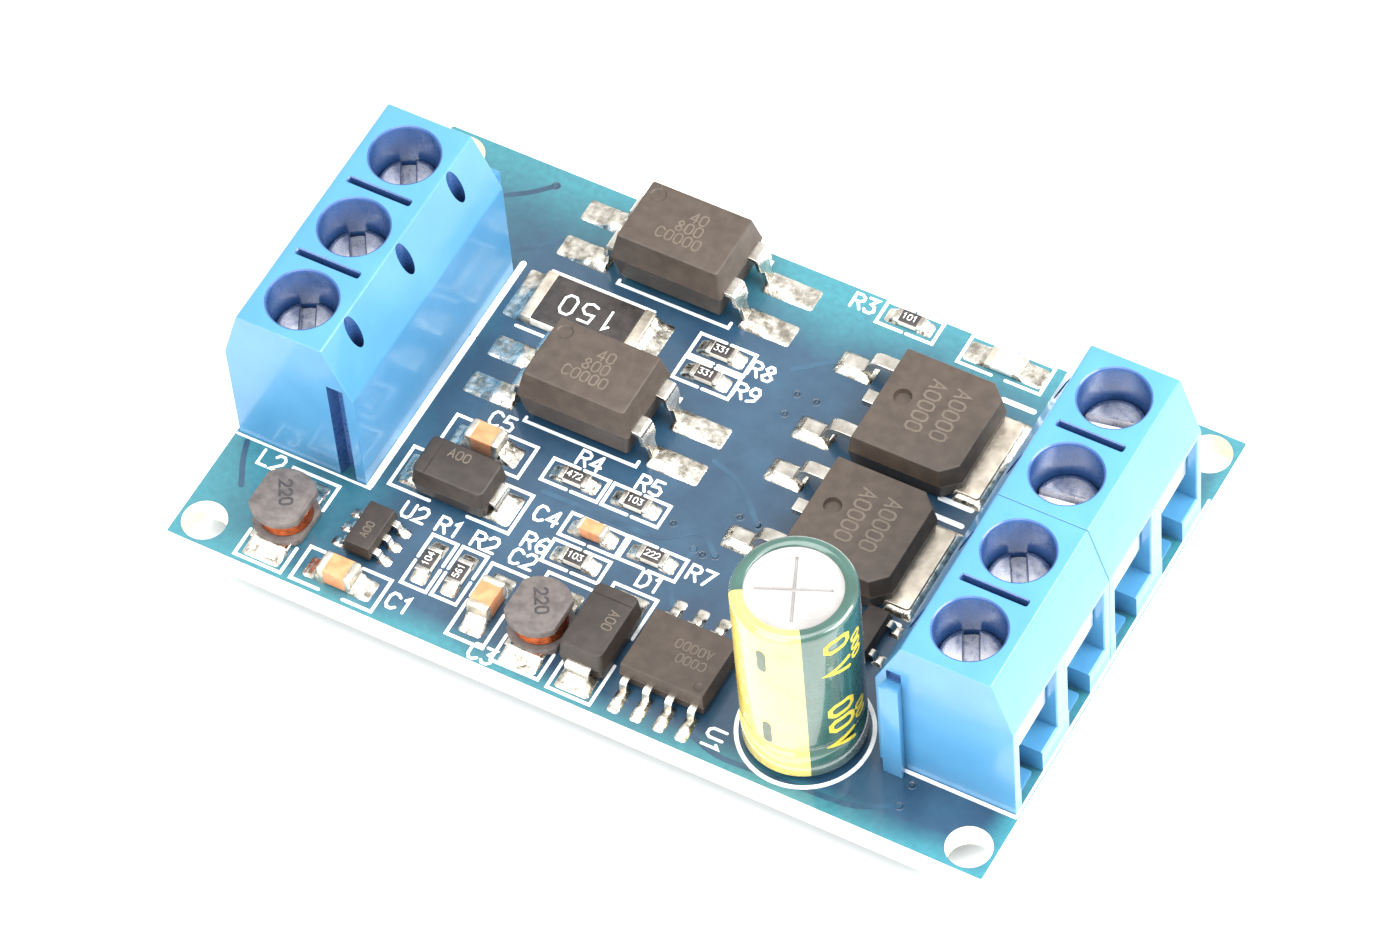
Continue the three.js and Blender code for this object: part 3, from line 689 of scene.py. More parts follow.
LOOKS = {
    "mask": mask_look(),
    "laminate": laminate_look(),
    "track": plain("mask_over_track", (28, 59, 82), (39, 75, 98), 0.35, 0.3, 0.004, 1.5,
                   **MASK_COAT),
    "via": plain("mask_over_via", (24, 48, 66), (34, 60, 80), 0.35, 0.3, 0.004, 0.4,
                 **MASK_COAT),
    "print": plain("print_white", (222, 226, 226), (250, 252, 250), 0.55, 0.08, 0.003, 0.6),
    "solder": plain("solder", (150, 144, 132), (230, 225, 214), 0.26, 0.3, 0.03, 0.5, 0.1,
                    Metallic=1.0),
    "gold_pad": plain("pad_tin", (184, 174, 158), (218, 208, 192), 0.4, 0.2, 0.01, 0.8,
                      Metallic=0.9),
    "lead": plain("lead_tin", (178, 172, 161), (222, 217, 208), 0.2, 0.12, 0.006, 0.9,
                  Metallic=1.0),
    "epoxy": plain("chip_epoxy", (60, 50, 42), (71, 60, 51), 0.52, 0.07, 0.008, 0.7, 0.06),
    "epoxy_dark": plain("chip_epoxy_dark", (40, 33, 28), (50, 42, 36), 0.5, 0.07, 0.008, 0.7, 0.06),
    "mark": plain("chip_mark", (88, 77, 66), (99, 88, 77), 0.6, 0.08, 0.002, 0.3),
    "terminal": plain("terminal_plastic", (64, 126, 168), (70, 132, 174), 0.36, 0.18, 0.004, 2.5,
                      0.05, **PLASTIC_COAT),
    # Painted shade: a darker copy of the terminal plastic, for the walls of wells, slots, holes and
    # grooves.
    "terminal_painted_shade": plain("terminal_plastic_painted_shade", (46, 78, 128), (54, 88, 140), 0.3, 0.18,
                             0.004, 1.2, 0.05, **PLASTIC_COAT),
    "screw": plain("screw_steel", (204, 203, 207), (222, 221, 223), 0.3, 0.3, 0.002, 0.9,
                   Metallic=1.0),
    "guard": plain("guard_steel", (232, 232, 232), (246, 246, 246), 0.4, 0.1, 0.002, 0.9,
                   Metallic=1.0),
    "contact": plain("contact_tin", (186, 180, 160), (214, 208, 190), 0.32, 0.12, 0.006, 0.8,
                     Metallic=1.0),
    "glaze": plain("resistor_glaze", (40, 36, 34), (58, 52, 50), 0.35, 0.1, 0.004, 0.5),
    "alumina": plain("alumina", (214, 206, 192), (236, 230, 218), 0.6, 0.08, 0.005, 0.5),
    "ceramic": plain("capacitor_ceramic", (186, 122, 80), (204, 142, 98), 0.42, 0.1, 0.006, 0.5),
    "ferrite": plain("ferrite", (78, 71, 69), (100, 92, 88), 0.5, 0.09, 0.012, 0.5),
    "ferrite_mark": plain("ferrite_mark", (44, 40, 42), (58, 54, 56), 0.6, 0.08, 0.002, 0.3),
    "copper": plain("copper_wire", (130, 58, 28), (176, 88, 46), 0.32, 0.1, 0.004, 0.4,
                    Metallic=0.85),
    "can": plain("can_aluminium", (168, 165, 163), (184, 181, 178), 0.5, 0.15, 0.012, 1.6,
                 Metallic=0.6),
    "sleeve": sleeve_look(SLEEVE_CENTRE),
    "sleeve_mark": plain("sleeve_mark", (84, 94, 84), (98, 108, 96), 0.4, 0.1, 0.002, 0.5),
    "sleeve_print": plain("sleeve_print", (196, 176, 52), (212, 194, 72), 0.4, 0.1, 0.002, 0.5),
    "rubber": plain("seal_rubber", (34, 34, 38), (48, 48, 52), 0.7, 0.1, 0.01, 0.5),
    "roll": plain("foil_roll", (140, 134, 118), (164, 158, 142), 0.6, 0.1, 0.01, 0.5),
    "lens": plain("lamp_lens", (246, 245, 236), (252, 252, 246), 0.35, 0.15, 0.004, 0.5,
                  Coat_Weight=0.2, Coat_Roughness=0.15),
}

# The material slot of each look. The printing on the components has none.
SLOTS = {
    "solder_mask": ["mask", "track", "via"],
    "terminal_plastic": ["terminal"],
    "screw_steel": ["screw"],
    "guard_steel": ["guard"],
    "contact_brass": ["contact"],
    "lead_wire": ["solder", "gold_pad", "lead"],
    "resistor_ceramic": ["alumina", "glaze"],
    "capacitor_ceramic": ["ceramic"],
    "lamp_lens": ["lens"],
    "chip_epoxy": ["epoxy", "epoxy_dark", "mark"],
    "ferrite": ["ferrite", "ferrite_mark"],
    "copper_wire": ["copper"],
    "can_aluminium": ["can"],
    "capacitor_sleeve": ["sleeve", "sleeve_mark", "sleeve_print"],
    "seal_rubber": ["rubber"],
    "foil_roll": ["roll"],
}
SLOT_OF = {look: slot for slot, looks in SLOTS.items() for look in looks}

# ---------------------------------------------------------------- circuit board

CORNER_HOLE = {"x": 21.75, "y": 13.1, "radius": 1.2}
PRINT = {"low": -0.01, "high": 0.024, "width": 0.175, "lettering": 0.15}
TRACK = {"low": -0.02, "high": 0.004, "width": 0.3}
VIA = {"drill": 0.15, "land": 0.27}
VIAS = [
    (1.36, 7.16), (2.49, 7.15), (1.37, 5.79), (2.41, -0.87), (3.48, -0.91), (2.44, -3.52),
    (-0.41, -2.69), (1.28, -3.62), (1.83, -3.72), (17.61, -11.17), (17.61, -12.53),
    (-16.29, 13.4),
]


def board_shape(drills):
    """The laminate with every hole through it, as one filled outline raised to its thickness."""
    curve = bpy.data.curves.new("board_outline", "CURVE")
    curve.dimensions, curve.fill_mode = "2D", "BOTH"
    loops = [rounded_rect(BOARD.x, BOARD.y, 0.12)]
    loops += [circle(radius, sides, x, y) for x, y, radius, sides in drills]
    for loop in loops:
        spline = curve.splines.new("POLY")
        spline.points.add(len(loop) - 1)
        for point, (x, y) in zip(spline.points, loop):
            point.co = (x, y, 0, 1)
        spline.use_cyclic_u = True
    curve.extrude = BOARD.z / 2
    shape = put_in_scene("board_outline", curve)
    bm = bmesh.new()
    evaluated = shape.evaluated_get(bpy.context.evaluated_depsgraph_get())
    bm.from_mesh(evaluated.to_mesh())
    evaluated.to_mesh_clear()
    bpy.data.curves.remove(curve)
    bmesh.ops.remove_doubles(bm, verts=bm.verts, dist=1e-4)
    bmesh.ops.dissolve_limit(bm, angle_limit=radians(0.5), verts=bm.verts, edges=bm.edges)
    bm.transform(Matrix.Translation((0, 0, -BOARD.z / 2)))
    return bm


def make_board():
    drills = [
        (sx * CORNER_HOLE["x"], sy * CORNER_HOLE["y"], CORNER_HOLE["radius"], 56)
        for sx in (-1, 1) for sy in (-1, 1)
    ]
    drills += [(x, y, VIA["land"] - 0.01, 24) for x, y in VIAS]
    board = piece(
        "circuit_board_laminate", board_shape(drills), "mask", replaces="circuit_board", sharp=30,
    )
    board.data.materials.append(LOOKS["laminate"])
    for polygon in board.data.polygons:
        if abs(polygon.normal.z) < 0.7:
            polygon.material_index = 1


make_board()

# ---------------------------------------------------------------- screw terminals
# A block is drawn with its back at x = 0, its wire entries towards +X and its tongue at y = 0.

PITCH = 5.08
BLOCK = {"depth": 7.5, "height": 10.4, "groove_margin": 2.4, "screw_depth": 3.95}
BLOCK_PROFILE = [(0, 0), (7.5, 0), (7.5, 6.9), (6.4, 10.4), (1.5, 10.4), (0, 7)]
CHAMBER = {"back": 1.4, "half": 1.95, "floor": 1.6, "ceiling": 6.6}
NOTCH = {"back": 4.9, "far": 0.3, "slot": -0.15, "foot": 0.35, "foot_front": 7.1}
WELL = {"radius": 1.8, "rim": 0.14}
TEST_HOLE = {"depth": 1.07, "radius": 0.42, "bottom": 6}
TOP_SLOT = {"from": 2.15, "to": 5.75, "width": 0.34, "depth": 2.2}
TONGUE = {"from": 0.65, "to": 1.45, "flare": 0.15, "reach": 0.65, "height": 7.4,
          "play": 0.08, "web": 0.06}
TONGUE_POCKET = {"depth": 0.25, "top": 8.1}


def drawn_out(points, y0, y1):
    """A profile in X and Z drawn out along Y."""
    return loft([[(x, y, z) for x, z in points] for y in (y0, y1)])


def block_box(low, high, flare=0.0):
    """A cutter from its lowest to its highest corner; flare widens it over its last bit of x."""
    (x0, y0, z0), (x1, y1, z1) = low, high
    stations = [(x0, 0), (x1, 0)]
    if flare:
        mouth = BLOCK["depth"]
        stations = [(x0, 0), (mouth - flare, 0), (mouth - flare * 0.3, flare * 0.35),
                    (mouth + 0.01, flare), (x1, flare)]
    return loft([
        [(x, y0 - f, z0 - f), (x, y1 + f, z0 - f), (x, y1 + f, z1 + f), (x, y0 - f, z1 + f)]
        for x, f in stations
    ])


def well_cutter(y):
    rim, top = WELL["rim"], BLOCK["height"]
    bottom = CHAMBER["ceiling"] - 0.5
    r = WELL["radius"]
    cutter = turned([
        (0, bottom), (r, bottom), (r, top - rim), (r + rim * 0.3, top - rim * 0.35),
        (r + rim, top + 0.01), (r + rim, top + 1), (0, top + 1),
    ])
    cutter.transform(spot(BLOCK["screw_depth"], y))
    # The well's walls and floor get painted shade.
    return with_painted_shade(cutter)


def slot_cutter(y):
    size = TOP_SLOT
    length, top, rim = size["to"] - size["from"], BLOCK["height"], 0.07
    levels = [(top - size["depth"], 0), (top - rim, 0), (top + 0.01, rim), (top + 1, rim)]
    cutter = loft([
        ring_of(rounded_rect(length + 2 * f, size["width"] + 2 * f, 0.08 + f), z)
        for z, f in levels
    ])
    cutter.transform(spot((size["from"] + size["to"]) / 2, y))
    # The slot's walls get painted shade.
    return with_painted_shade(cutter)


def dovetail(tip, play, limit=math.inf):
    """The tongue's outline, with play round it; its tip stays short of x = limit."""
    size = TONGUE
    return [
        (size["from"] - play, tip + size["reach"] + play),
        (size["from"] - size["flare"] - play, tip),
        (min(size["to"] + size["flare"] + play, limit), tip),
        (size["to"] + play, tip + size["reach"] + play),
    ]


def pole_cutters(y):
    near, far = y - CHAMBER["half"], y + CHAMBER["half"]
    floor, edge, mouth = CHAMBER["floor"], y + NOTCH["far"], BLOCK["depth"] + 1
    test = prism(circle(TEST_HOLE["radius"], 28, TEST_HOLE["depth"], y), TEST_HOLE["bottom"], 12)
    return [
        well_cutter(y),
        # The test hole's walls get painted shade.
        with_painted_shade(test),
        block_box((CHAMBER["back"], near, floor), (mouth, far, CHAMBER["ceiling"]), 0.09),
        block_box((NOTCH["back"], near, NOTCH["foot"]), (mouth, edge, floor + 0.1)),
        block_box((NOTCH["back"], y + NOTCH["slot"], -1), (mouth, edge, floor)),
        block_box((NOTCH["foot_front"], near, -1), (mouth, edge, floor)),
    ]


def bevelled(bm, edges, width, segments):
    bmesh.ops.bevel(
        bm, geom=edges, offset=width, segments=segments, profile=0.5, affect="EDGES",
        clamp_overlap=True,
    )


def housing_shape(poles, snug):
    """A block's moulding.

    snug lengthens the end with the groove, where another block stands. A groove with no
    neighbour leaves a thin web beside the wire chamber.
    """
    length = PITCH / 2 + PITCH * (poles - 1) + BLOCK["groove_margin"] + snug
    body = drawn_out(BLOCK_PROFILE, 0, length)
    ridges = [
        e for e in body.edges
        if abs(e.verts[0].co.y - e.verts[1].co.y) > 1 and e.verts[0].co.z > 1
    ]
    bevelled(body, ridges, 0.12, 3)
    rims = [
        e for e in body.edges
        if abs(e.verts[0].co.y - e.verts[1].co.y) < 1e-4 and max(v.co.z for v in e.verts) > 0.1
    ]
    bevelled(body, rims, 0.03, 1)
    limit = math.inf if snug else CHAMBER["back"] - TONGUE["web"]
    groove = dovetail(length - TONGUE["reach"], TONGUE["play"], limit)
    # The tongue's pocket and the groove get painted shade.
    cutters = [with_painted_shade(cutter) for cutter in (
        block_box((TONGUE["from"], -1, TONGUE["height"]),
                  (TONGUE["to"], TONGUE_POCKET["depth"], TONGUE_POCKET["top"])),
        prism(groove, -1, TONGUE["height"] + 0.1),
    )]
    for pole in range(poles):
        y = PITCH / 2 + PITCH * pole
        cutters += pole_cutters(y)
        if pole:
            cutters.append(slot_cutter(y - PITCH / 2))
    body = carve(body, *cutters)
    tongue = prism(dovetail(-TONGUE["reach"], 0)[::-1], 0, TONGUE["height"])
    bmesh.ops.recalc_face_normals(tongue, faces=tongue.faces)
    bevelled(tongue, list(tongue.edges), 0.06, 2)
    return merge(body, tongue)


def make_housing(node, poles, facing, snug=0.0):
    low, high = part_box(node)
    if facing > 0:
        at = spot(low.x / MM, low.y / MM + TONGUE["reach"])
    else:
        at = spot(high.x / MM, high.y / MM - TONGUE["reach"], 0, pi)
    shape = housing_shape(poles, snug)
    # The walls of the hollows get the painted-shade copy of the plastic.
    Part(node, at=at).stand_in("moulding", shape, "terminal", sharp=24, inside="terminal_painted_shade")


SCREW = {"tip": 4, "shank": 1.35, "head": 1.65, "head_bottom": 7.15, "top": 8.15, "slot": 0.75,
         "slot_depth": 0.65}
SCREW_TURNS = [2.1, 2.15, 2.05, 2.05, 2.1, 0.15, 0.2]


def screw_shape():
    tip, shank, head, top = SCREW["tip"], SCREW["shank"], SCREW["head"], SCREW["top"]
    under = SCREW["head_bottom"]
    profile = [(0, tip), (shank - 0.3, tip), (shank - 0.05, tip + 0.25)]
    z = tip + 0.35
    while z + 0.5 < under:
        profile += [(shank, z), (shank - 0.16, z + 0.25)]
        z += 0.5
    profile += [
        (shank - 0.1, under), (head - 0.06, under), (head, under + 0.06), (head, top - 0.26),
        (head - 0.05, top - 0.12), (head - 0.16, top - 0.03), (head - 0.34, top), (0, top),
    ]
    body = turned(profile)
    floor = top - SCREW["slot_depth"]
    half = SCREW["slot"] / 2
    levels = [(floor, half - 0.03), (floor + 0.08, half), (top - 0.07, half), (top, half + 0.07),
              (top + 0.5, half + 0.07)]
    slot = loft([[(-2, -h, z), (2, -h, z), (2, h, z), (-2, h, z)] for z, h in levels])
    return carve(body, slot)


def make_terminals():
    make_housing("input_terminal_housing", 3, -1)
    make_housing("output_terminal_housing_1", 2, 1, 0.11)
    make_housing("output_terminal_housing_2", 2, 1)
    for k, (x, y) in zip(POLES, SCREW_AXES):
        screw, guard = f"clamp_screw_{k}", f"wire_guard_{k}"
        part = Part(screw, at=spot(x, y, 0, SCREW_TURNS[k - 1]))
        part.stand_in("fine", screw_shape(), "screw", body=screw, sharp=30)
        refined(guard, "guard", guard, 0.09)
        refined(f"terminal_contact_{k}", "contact", bevel=0.06)


make_terminals()

# ---------------------------------------------------------------- solder and pads

PAD = {"base": 0.06, "rim": 0.16, "step": 0.1, "spread": 0.3, "corner": 0.18}


def add_pad(bm, box, feet, spread=None):
    """A tinned pad with its solder drawn up round the feet that stand on it.

    box is (x0, x1, y0, y1), and each foot is (x0, x1, y0, y1, rise).
    """
    base = PAD["base"]
    spread = spread or PAD["spread"]
    x0, x1, y0, y1 = box
    corner = min(PAD["corner"], 0.35 * (x1 - x0), 0.35 * (y1 - y0))
    across = max(8, round((x1 - x0) / PAD["step"]))
    along = max(8, round((y1 - y0) / PAD["step"]))
    rows = []
    for i in range(across + 1):
        row = []
        for j in range(along + 1):
            x, y = x0 + (x1 - x0) * i / across, y0 + (y1 - y0) * j / along
            edge = min(x - x0, x1 - x, y - y0, y1 - y)
            full = min(max(edge / PAD["rim"], 0), 1)
            rim = math.sqrt(1 - (1 - full) ** 2)
            rise = 0.0
            for fx0, fx1, fy0, fy1, height in feet:
                off = math.hypot(max(fx0 - x, 0, x - fx1), max(fy0 - y, 0, y - fy1))
                rise = max(rise, height * math.exp(-(off / spread) ** 1.3))
            uneven = 0.02 * noise.noise(Vector((x * 2.3, y * 2.3, base * 40)))
            z = rim * max(base + rise + uneven, 0.02) - 0.012
            a, b = (max(corner - d, 0) for d in (min(x - x0, x1 - x), min(y - y0, y1 - y)))
            if a and b:
                inward = 1 - max(a, b) / math.hypot(a, b)
                x += math.copysign(a * inward, x0 + x1 - 2 * x)
                y += math.copysign(b * inward, y0 + y1 - 2 * y)
            row.append(bm.verts.new((x, y, z)))
        rows.append(row)
    for a, b in zip(rows, rows[1:]):
        for j in range(along):
            bm.faces.new((a[j], b[j], b[j + 1], a[j + 1]))
    loop = [r[0] for r in rows] + rows[-1][1:] + [r[-1] for r in rows[-2::-1]] + rows[0][-2:0:-1]
    underside = bm.faces.new(loop[::-1])
    underside.normal_update()
    bmesh.ops.triangulate(bm, faces=[underside])


def mirrored(box, feet):
    """A pad and its feet on the other side of x = 0."""
    return (-box[1], -box[0], *box[2:]), [(-f[1], -f[0], *f[2:]) for f in feet]


def both_sides(box, feet):
    return [(box, feet), mirrored(box, feet)]


# ---------------------------------------------------------------- chip parts

CHIP_SMALL = {"length": 1.6, "width": 0.8, "end": 0.3, "pad": (0.42, 1.36, 0.46)}
CHIP_LARGE = {"length": 2.0, "width": 1.25, "end": 0.45, "pad": (0.55, 1.95, 0.66)}
RESISTOR_HEIGHT = 0.45
CERAMIC_HEIGHTS = {"small": 0.8, "large": 1.2}
POWER_RESISTOR = {"end": 0.65, "pad": (2.4, 4.28, -1.62, 1.62)}
LAMP = {"base": 0.34, "pad": (0.75, 2.25, -0.66, 0.66), "foot": (0.6, 1.0, -0.62, 0.62, 0.2)}


def end_caps(length, width, height, end, edge=0.07):
    caps = bmesh.new()
    for side in (1, -1):
        cap = soft_box(end, width, 0.01, height, edge)
        merge(caps, cap, spot(side * (length - end) / 2))
    return caps


def chip_pads(part, size, rise):
    inner, outer, half = size["pad"]
    reach, side = size["length"] / 2, size["width"] / 2
    foot = (reach - size["end"], reach, -side, side, rise)
    part.solder(both_sides((inner, outer, -half, half), [foot]))


def make_resistor(node, turn, code):
    part = Part(node, turn)
    height = RESISTOR_HEIGHT
    length, width, end = (CHIP_SMALL[key] for key in ("length", "width", "end"))
    core = soft_box(length - 0.06, width - 0.03, 0.03, height - 0.05, 0.03)
    part.stand_in("alumina", core, "alumina")
    glaze = soft_box(length - 2 * end + 0.04, width - 0.04, height - 0.1, height, 0.04)
    part.add("glaze", glaze, "glaze")
    part.add("ends", end_caps(length, width, height - 0.01, end, 0.05), "lead")
    marks = bmesh.new()
    add_text(marks, code, -0.39, -0.16, 0.34, 0, 0.05, height - 0.01, height + 0.006)
    part.add("code", marks, "print")
    chip_pads(part, CHIP_SMALL, height * 0.62)


def make_ceramic(node, turn, size, height):
    part = Part(node, turn)
    length, width = size["length"], size["width"]
    core = soft_box(length - 0.1, width - 0.03, 0.03, height - 0.02, 0.08)
    part.stand_in("body", core, "ceramic")
    part.add("ends", end_caps(length, width, height, size["end"], 0.12), "gold_pad")
    chip_pads(part, size, height * 0.7 * 0.62)


def make_power_resistor(node):
    part = Part(node)
    low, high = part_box(node)
    length, width, height = (high - low) / MM
    end = POWER_RESISTOR["end"]
    core = soft_box(length - 0.06, width - 0.04, 0.02, height - 0.08, 0.04)
    part.stand_in("alumina", core, "alumina")
    glaze = soft_box(length - 2 * end + 0.1, width - 0.16, height - 0.12, height, 0.05, 0.1)
    part.add("glaze", glaze, "glaze")
    part.add("ends", end_caps(length, width, height - 0.01, end, 0.08), "gold_pad")
    marks = bmesh.new()
    add_text(marks, "150", 1.5, 0.62, 1.2, pi, 0.13, height - 0.01, height + 0.006, 0.95)
    part.add("code", marks, "print")
    foot = (length / 2 - end, length / 2, -width / 2, width / 2, height * 0.7)
    part.solder(both_sides(POWER_RESISTOR["pad"], [foot]))


def make_lamp(node):
    part = Part(node)
    part.stand_in("base", soft_box(1.96, 1.22, 0.02, LAMP["base"], 0.05), "lens")
    lens = moulded(1.25, 1.2, 0.32, 0.36, 0.8, 0.1, 0.12, 0.12)
    part.add("lens", lens, "lens")
    part.add("ends", end_caps(2.0, 1.25, LAMP["base"] + 0.01, 0.38, 0.05), "gold_pad")
    part.solder(both_sides(LAMP["pad"], [LAMP["foot"]]))


RESISTOR_CODES = ["101", "331", "331", "472", "103", "222", "103", "561", "104"]
FIRST_UPRIGHT_RESISTOR = 8
UPRIGHT = pi / 2
for number, code in enumerate(RESISTOR_CODES, 1):
    upright = number >= FIRST_UPRIGHT_RESISTOR
    make_resistor(f"chip_resistor_{number}", UPRIGHT if upright else 0, code)
make_ceramic("ceramic_capacitor_1", UPRIGHT, CHIP_LARGE, CERAMIC_HEIGHTS["large"])
make_ceramic("ceramic_capacitor_2", 0, CHIP_SMALL, CERAMIC_HEIGHTS["small"])
make_ceramic("ceramic_capacitor_3", 0, CHIP_LARGE, CERAMIC_HEIGHTS["large"])
make_ceramic("ceramic_capacitor_4", 0, CHIP_LARGE, CERAMIC_HEIGHTS["large"])
make_power_resistor("power_resistor")
make_lamp("indicator_lamp")

# ---------------------------------------------------------------- moulded chips


def dimple(radius, x, y, top, depth):
    """A cutter for a shallow round mark with a soft rim."""
    cutter = turned([
        (0, top - depth), (radius - 0.05, top - depth), (radius, top - depth * 0.5),
        (radius + 0.03, top), (radius + 0.03, top + 1), (0, top + 1),
    ], 40)
    cutter.transform(spot(x, y))
    return cutter


def make_optocoupler(node):
    part = Part(node)
    waist, top = 2.25, 3.85
    body = moulded(6.5, 4.6, 0.35, waist, top, draft=0.32, corner=0.14)
    body = carve(body, dimple(0.42, -2.24, 1.24, top, 0.06))
    part.stand_in("body", body, "epoxy", sharp=28)
    path = [(2.9, waist), (3.66, waist), (3.8, 1.5), (3.86, 1.25), (4.06, 0.17), (5.08, 0.17)]
    widths = [1.2] * 3 + [0.62] * 3
    leads, pads = bmesh.new(), []
    for y in (-PITCH / 4, PITCH / 4):
        for turn in (0, pi):
            merge(leads, strap(path, widths, 0.25, 0.2), spot(0, y) @ spot(turn=turn))
        foot = (4.0, 5.1, y - 0.3, y + 0.3, 0.26)
        pads += both_sides((3.85, 6.85, y - 0.72, y + 0.72), [foot])
    part.leads(leads, 0.04)
    part.solder(pads, 0.45)
    height = 0.62
    part.marking([
        ("40", 0.0, 0.45, height, 0), ("800", -0.45, -0.32, height, 0),
        ("C0000", -1.2, -1.1, height, 0),
    ], top)


def tab_plan(length, width, corner):
    """A rectangle whose two +X corners are cut off."""
    cut, half, side = 0.8, length / 2, width / 2
    return [
        (-half, -side), (half - cut, -side), (half, -side + cut), (half, side - cut),
        (half - cut, side), (-half, side),
    ]


def make_power_transistor(node):
    low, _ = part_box(node)
    part = Part(node, at=spot(low.x / MM + 6.1, middle(node)[1]))
    top, bend, sole, sheet = 2.3, 1.38, 0.24, 0.44
    body = moulded(6.1, 6.5, 0.06, 1.2, top, draft=0.16, corner=0.1, edge=0.09, plan=tab_plan)
    body = carve(body, dimple(0.46, -1.7, 0.26, top, 0.26))
    part.stand_in("body", body, "epoxy", sharp=28)
    metal = strap([(-2.8, bend), (-3.74, bend)], [0.8, 0.8], sheet)
    pads = []
    for y in (-2.285, 2.285):
        path = [(-2.8, bend), (-4.32, bend), (-4.78, sole), (-6.08, sole)]
        merge(metal, strap(path, [0.76] * 4, sheet, 0.35), spot(0, y))
        foot = (-6.1, -4.9, y - 0.38, y + 0.38, 0.34)
        pads.append(((-6.55, -4.35, y - 0.75, y + 0.75), [foot]))
    part.leads(metal, 0.05)
    tab = soft_box(5.0, 5.2, 0.01, 0.5, 0.06, 0.2)
    tab.transform(spot(1.53, 0))
    part.add("tab", tab, "gold_pad")
    pads.append(((2.6, 4.4, -2.95, 2.95), [(2.6, 4.03, -2.6, 2.6, 0.3)]))
    part.solder(pads)
    part.marking([("A0000", x, 1.9, 0.82, -UPRIGHT) for x in (0.62, -0.78)], top)


def make_small_outline(node, turn, size, marks):
    """A gull-wing chip: size holds its body and leads, in its own frame."""
    part = Part(node, turn)
    top, waist, half = size["top"], size["waist"], size["width"] / 2
    body = moulded(size["width"], size["length"], size["bottom"], waist, top, 0.09, 0.06, 0.05)
    if "dimple" in size:
        body = carve(body, dimple(*size["dimple"], top, 0.04))
    part.stand_in("body", body, size.get("look", "epoxy"), sharp=28)
    reach, sheet, lead, side = size["reach"], 0.16, size["lead"], size["pad_half"]
    bend = (reach - half) * 0.35
    knee = half + bend
    path = [(half - 0.15, waist), (knee, waist), (knee + 0.12, 0.1), (reach - 0.02, 0.1)]
    leads, pads = bmesh.new(), []
    for places, facing in ((size["right"], 0), (size["left"], pi)):
        for y in places:
            strip = strap(path, [lead] * 4, sheet, 0.14)
            merge(leads, strip, spot(0, y) @ spot(turn=facing))
            foot = (knee, reach, y - lead / 2, y + lead / 2, size["rise"])
            pad = (half + bend * 0.4, reach + size["toe"], y - side, y + side)
            pads.append(mirrored(pad, [foot]) if facing else (pad, [foot]))
    part.leads(leads, 0.03)
    part.solder(pads, 0.16)
    if marks:
        part.marking(marks, top)


EIGHT, SIX = [-1.905, -0.635, 0.635, 1.905], [-0.95, 0, 0.95]
DRIVER = {
    "length": 4.8, "width": 3.9, "bottom": 0.12, "waist": 0.8, "top": 1.6, "reach": 3, "lead": 0.42,
    "left": EIGHT, "right": EIGHT, "rise": 0.2, "toe": 0.72, "pad_half": 0.34,
    "dimple": (0.24, -1.35, -1.85),
}
REGULATOR = {
    "look": "epoxy_dark",
    "length": 2.9, "width": 1.6, "bottom": 0.08, "waist": 0.55, "top": 1.12, "reach": 1.42,
    "lead": 0.4, "left": SIX, "right": SIX, "rise": 0.14, "toe": 0.3, "pad_half": 0.28,
}
SIGNAL = {
    "look": "epoxy_dark",
    "length": 2.8, "width": 1.35, "bottom": 0.06, "waist": 0.5, "top": 1.02, "reach": 1.22,
    "lead": 0.42, "left": SIX[1:2], "right": SIX[::2], "rise": 0.14, "toe": 0.3, "pad_half": 0.36,
}


def make_diode(node, turn):
    part = Part(node, turn)
    top = 2.15
    body = moulded(2.6, 4.3, 0.12, 1.05, top, draft=0.12, corner=0.3, edge=0.12)
    body = carve(body, block_box((-2, 1.28, top - 0.035), (2, 1.36, top + 1)))
    part.stand_in("body", body, "epoxy_dark", sharp=28)
    path = [(1.9, 1.02), (2.42, 1.02), (2.46, 0.12), (1.5, 0.12)]
    leads, pads = bmesh.new(), []
    for side in (1, -1):
        strip = strap(path, [1.4, 1.4, 1.3, 1.3], 0.2, 0.2)
        merge(leads, strip, spot(turn=side * UPRIGHT))
        pad, foot = sorted((side * 1.7, side * 3.28)), sorted((side * 2.3, side * 2.52))
        pads.append(((-0.98, 0.98, *pad), [(-0.5, 0.5, *foot, 0.55)]))
    part.leads(leads, 0.04)
    part.solder(pads, 0.34)
    part.marking([("A00", 0.3, 0.75, 0.5, -UPRIGHT)], top)


for number in (1, 2):
    make_optocoupler(f"optocoupler_{number}")
    make_power_transistor(f"power_transistor_{number}")
make_small_outline("driver_chip", UPRIGHT, DRIVER, [
    ("A0000", 0.75, -1.6, 0.5, UPRIGHT), ("C000", 0.0, -1.6, 0.5, UPRIGHT),
])
make_small_outline("regulator_chip", 0, REGULATOR, [("A00", 0.22, -0.75, 0.4, UPRIGHT)])
make_small_outline("signal_transistor", 0, SIGNAL, [])
make_diode("rectifier_diode_1", 0)
make_diode("rectifier_diode_2", UPRIGHT)

# ---------------------------------------------------------------- inductors


def flange(low, high, edge=0.09):
    """A round plate with two flat sides."""
    def outline(inset, z):
        return [
            (max(-1.45 + inset, min(1.45 - inset, px)), py, z)
            for px, py in circle(1.75 - inset, 64)
        ]
    rings = [outline(edge, low), outline(edge * 0.3, low + edge * 0.3), outline(0, low + edge)]
    rings += [outline(0, high - edge), outline(edge * 0.3, high - edge * 0.3), outline(edge, high)]
    return loft(rings)


WINDING = {"wire": 0.085, "inner": 0.95, "outer": 1.34, "low": 0.54, "high": 1.57}


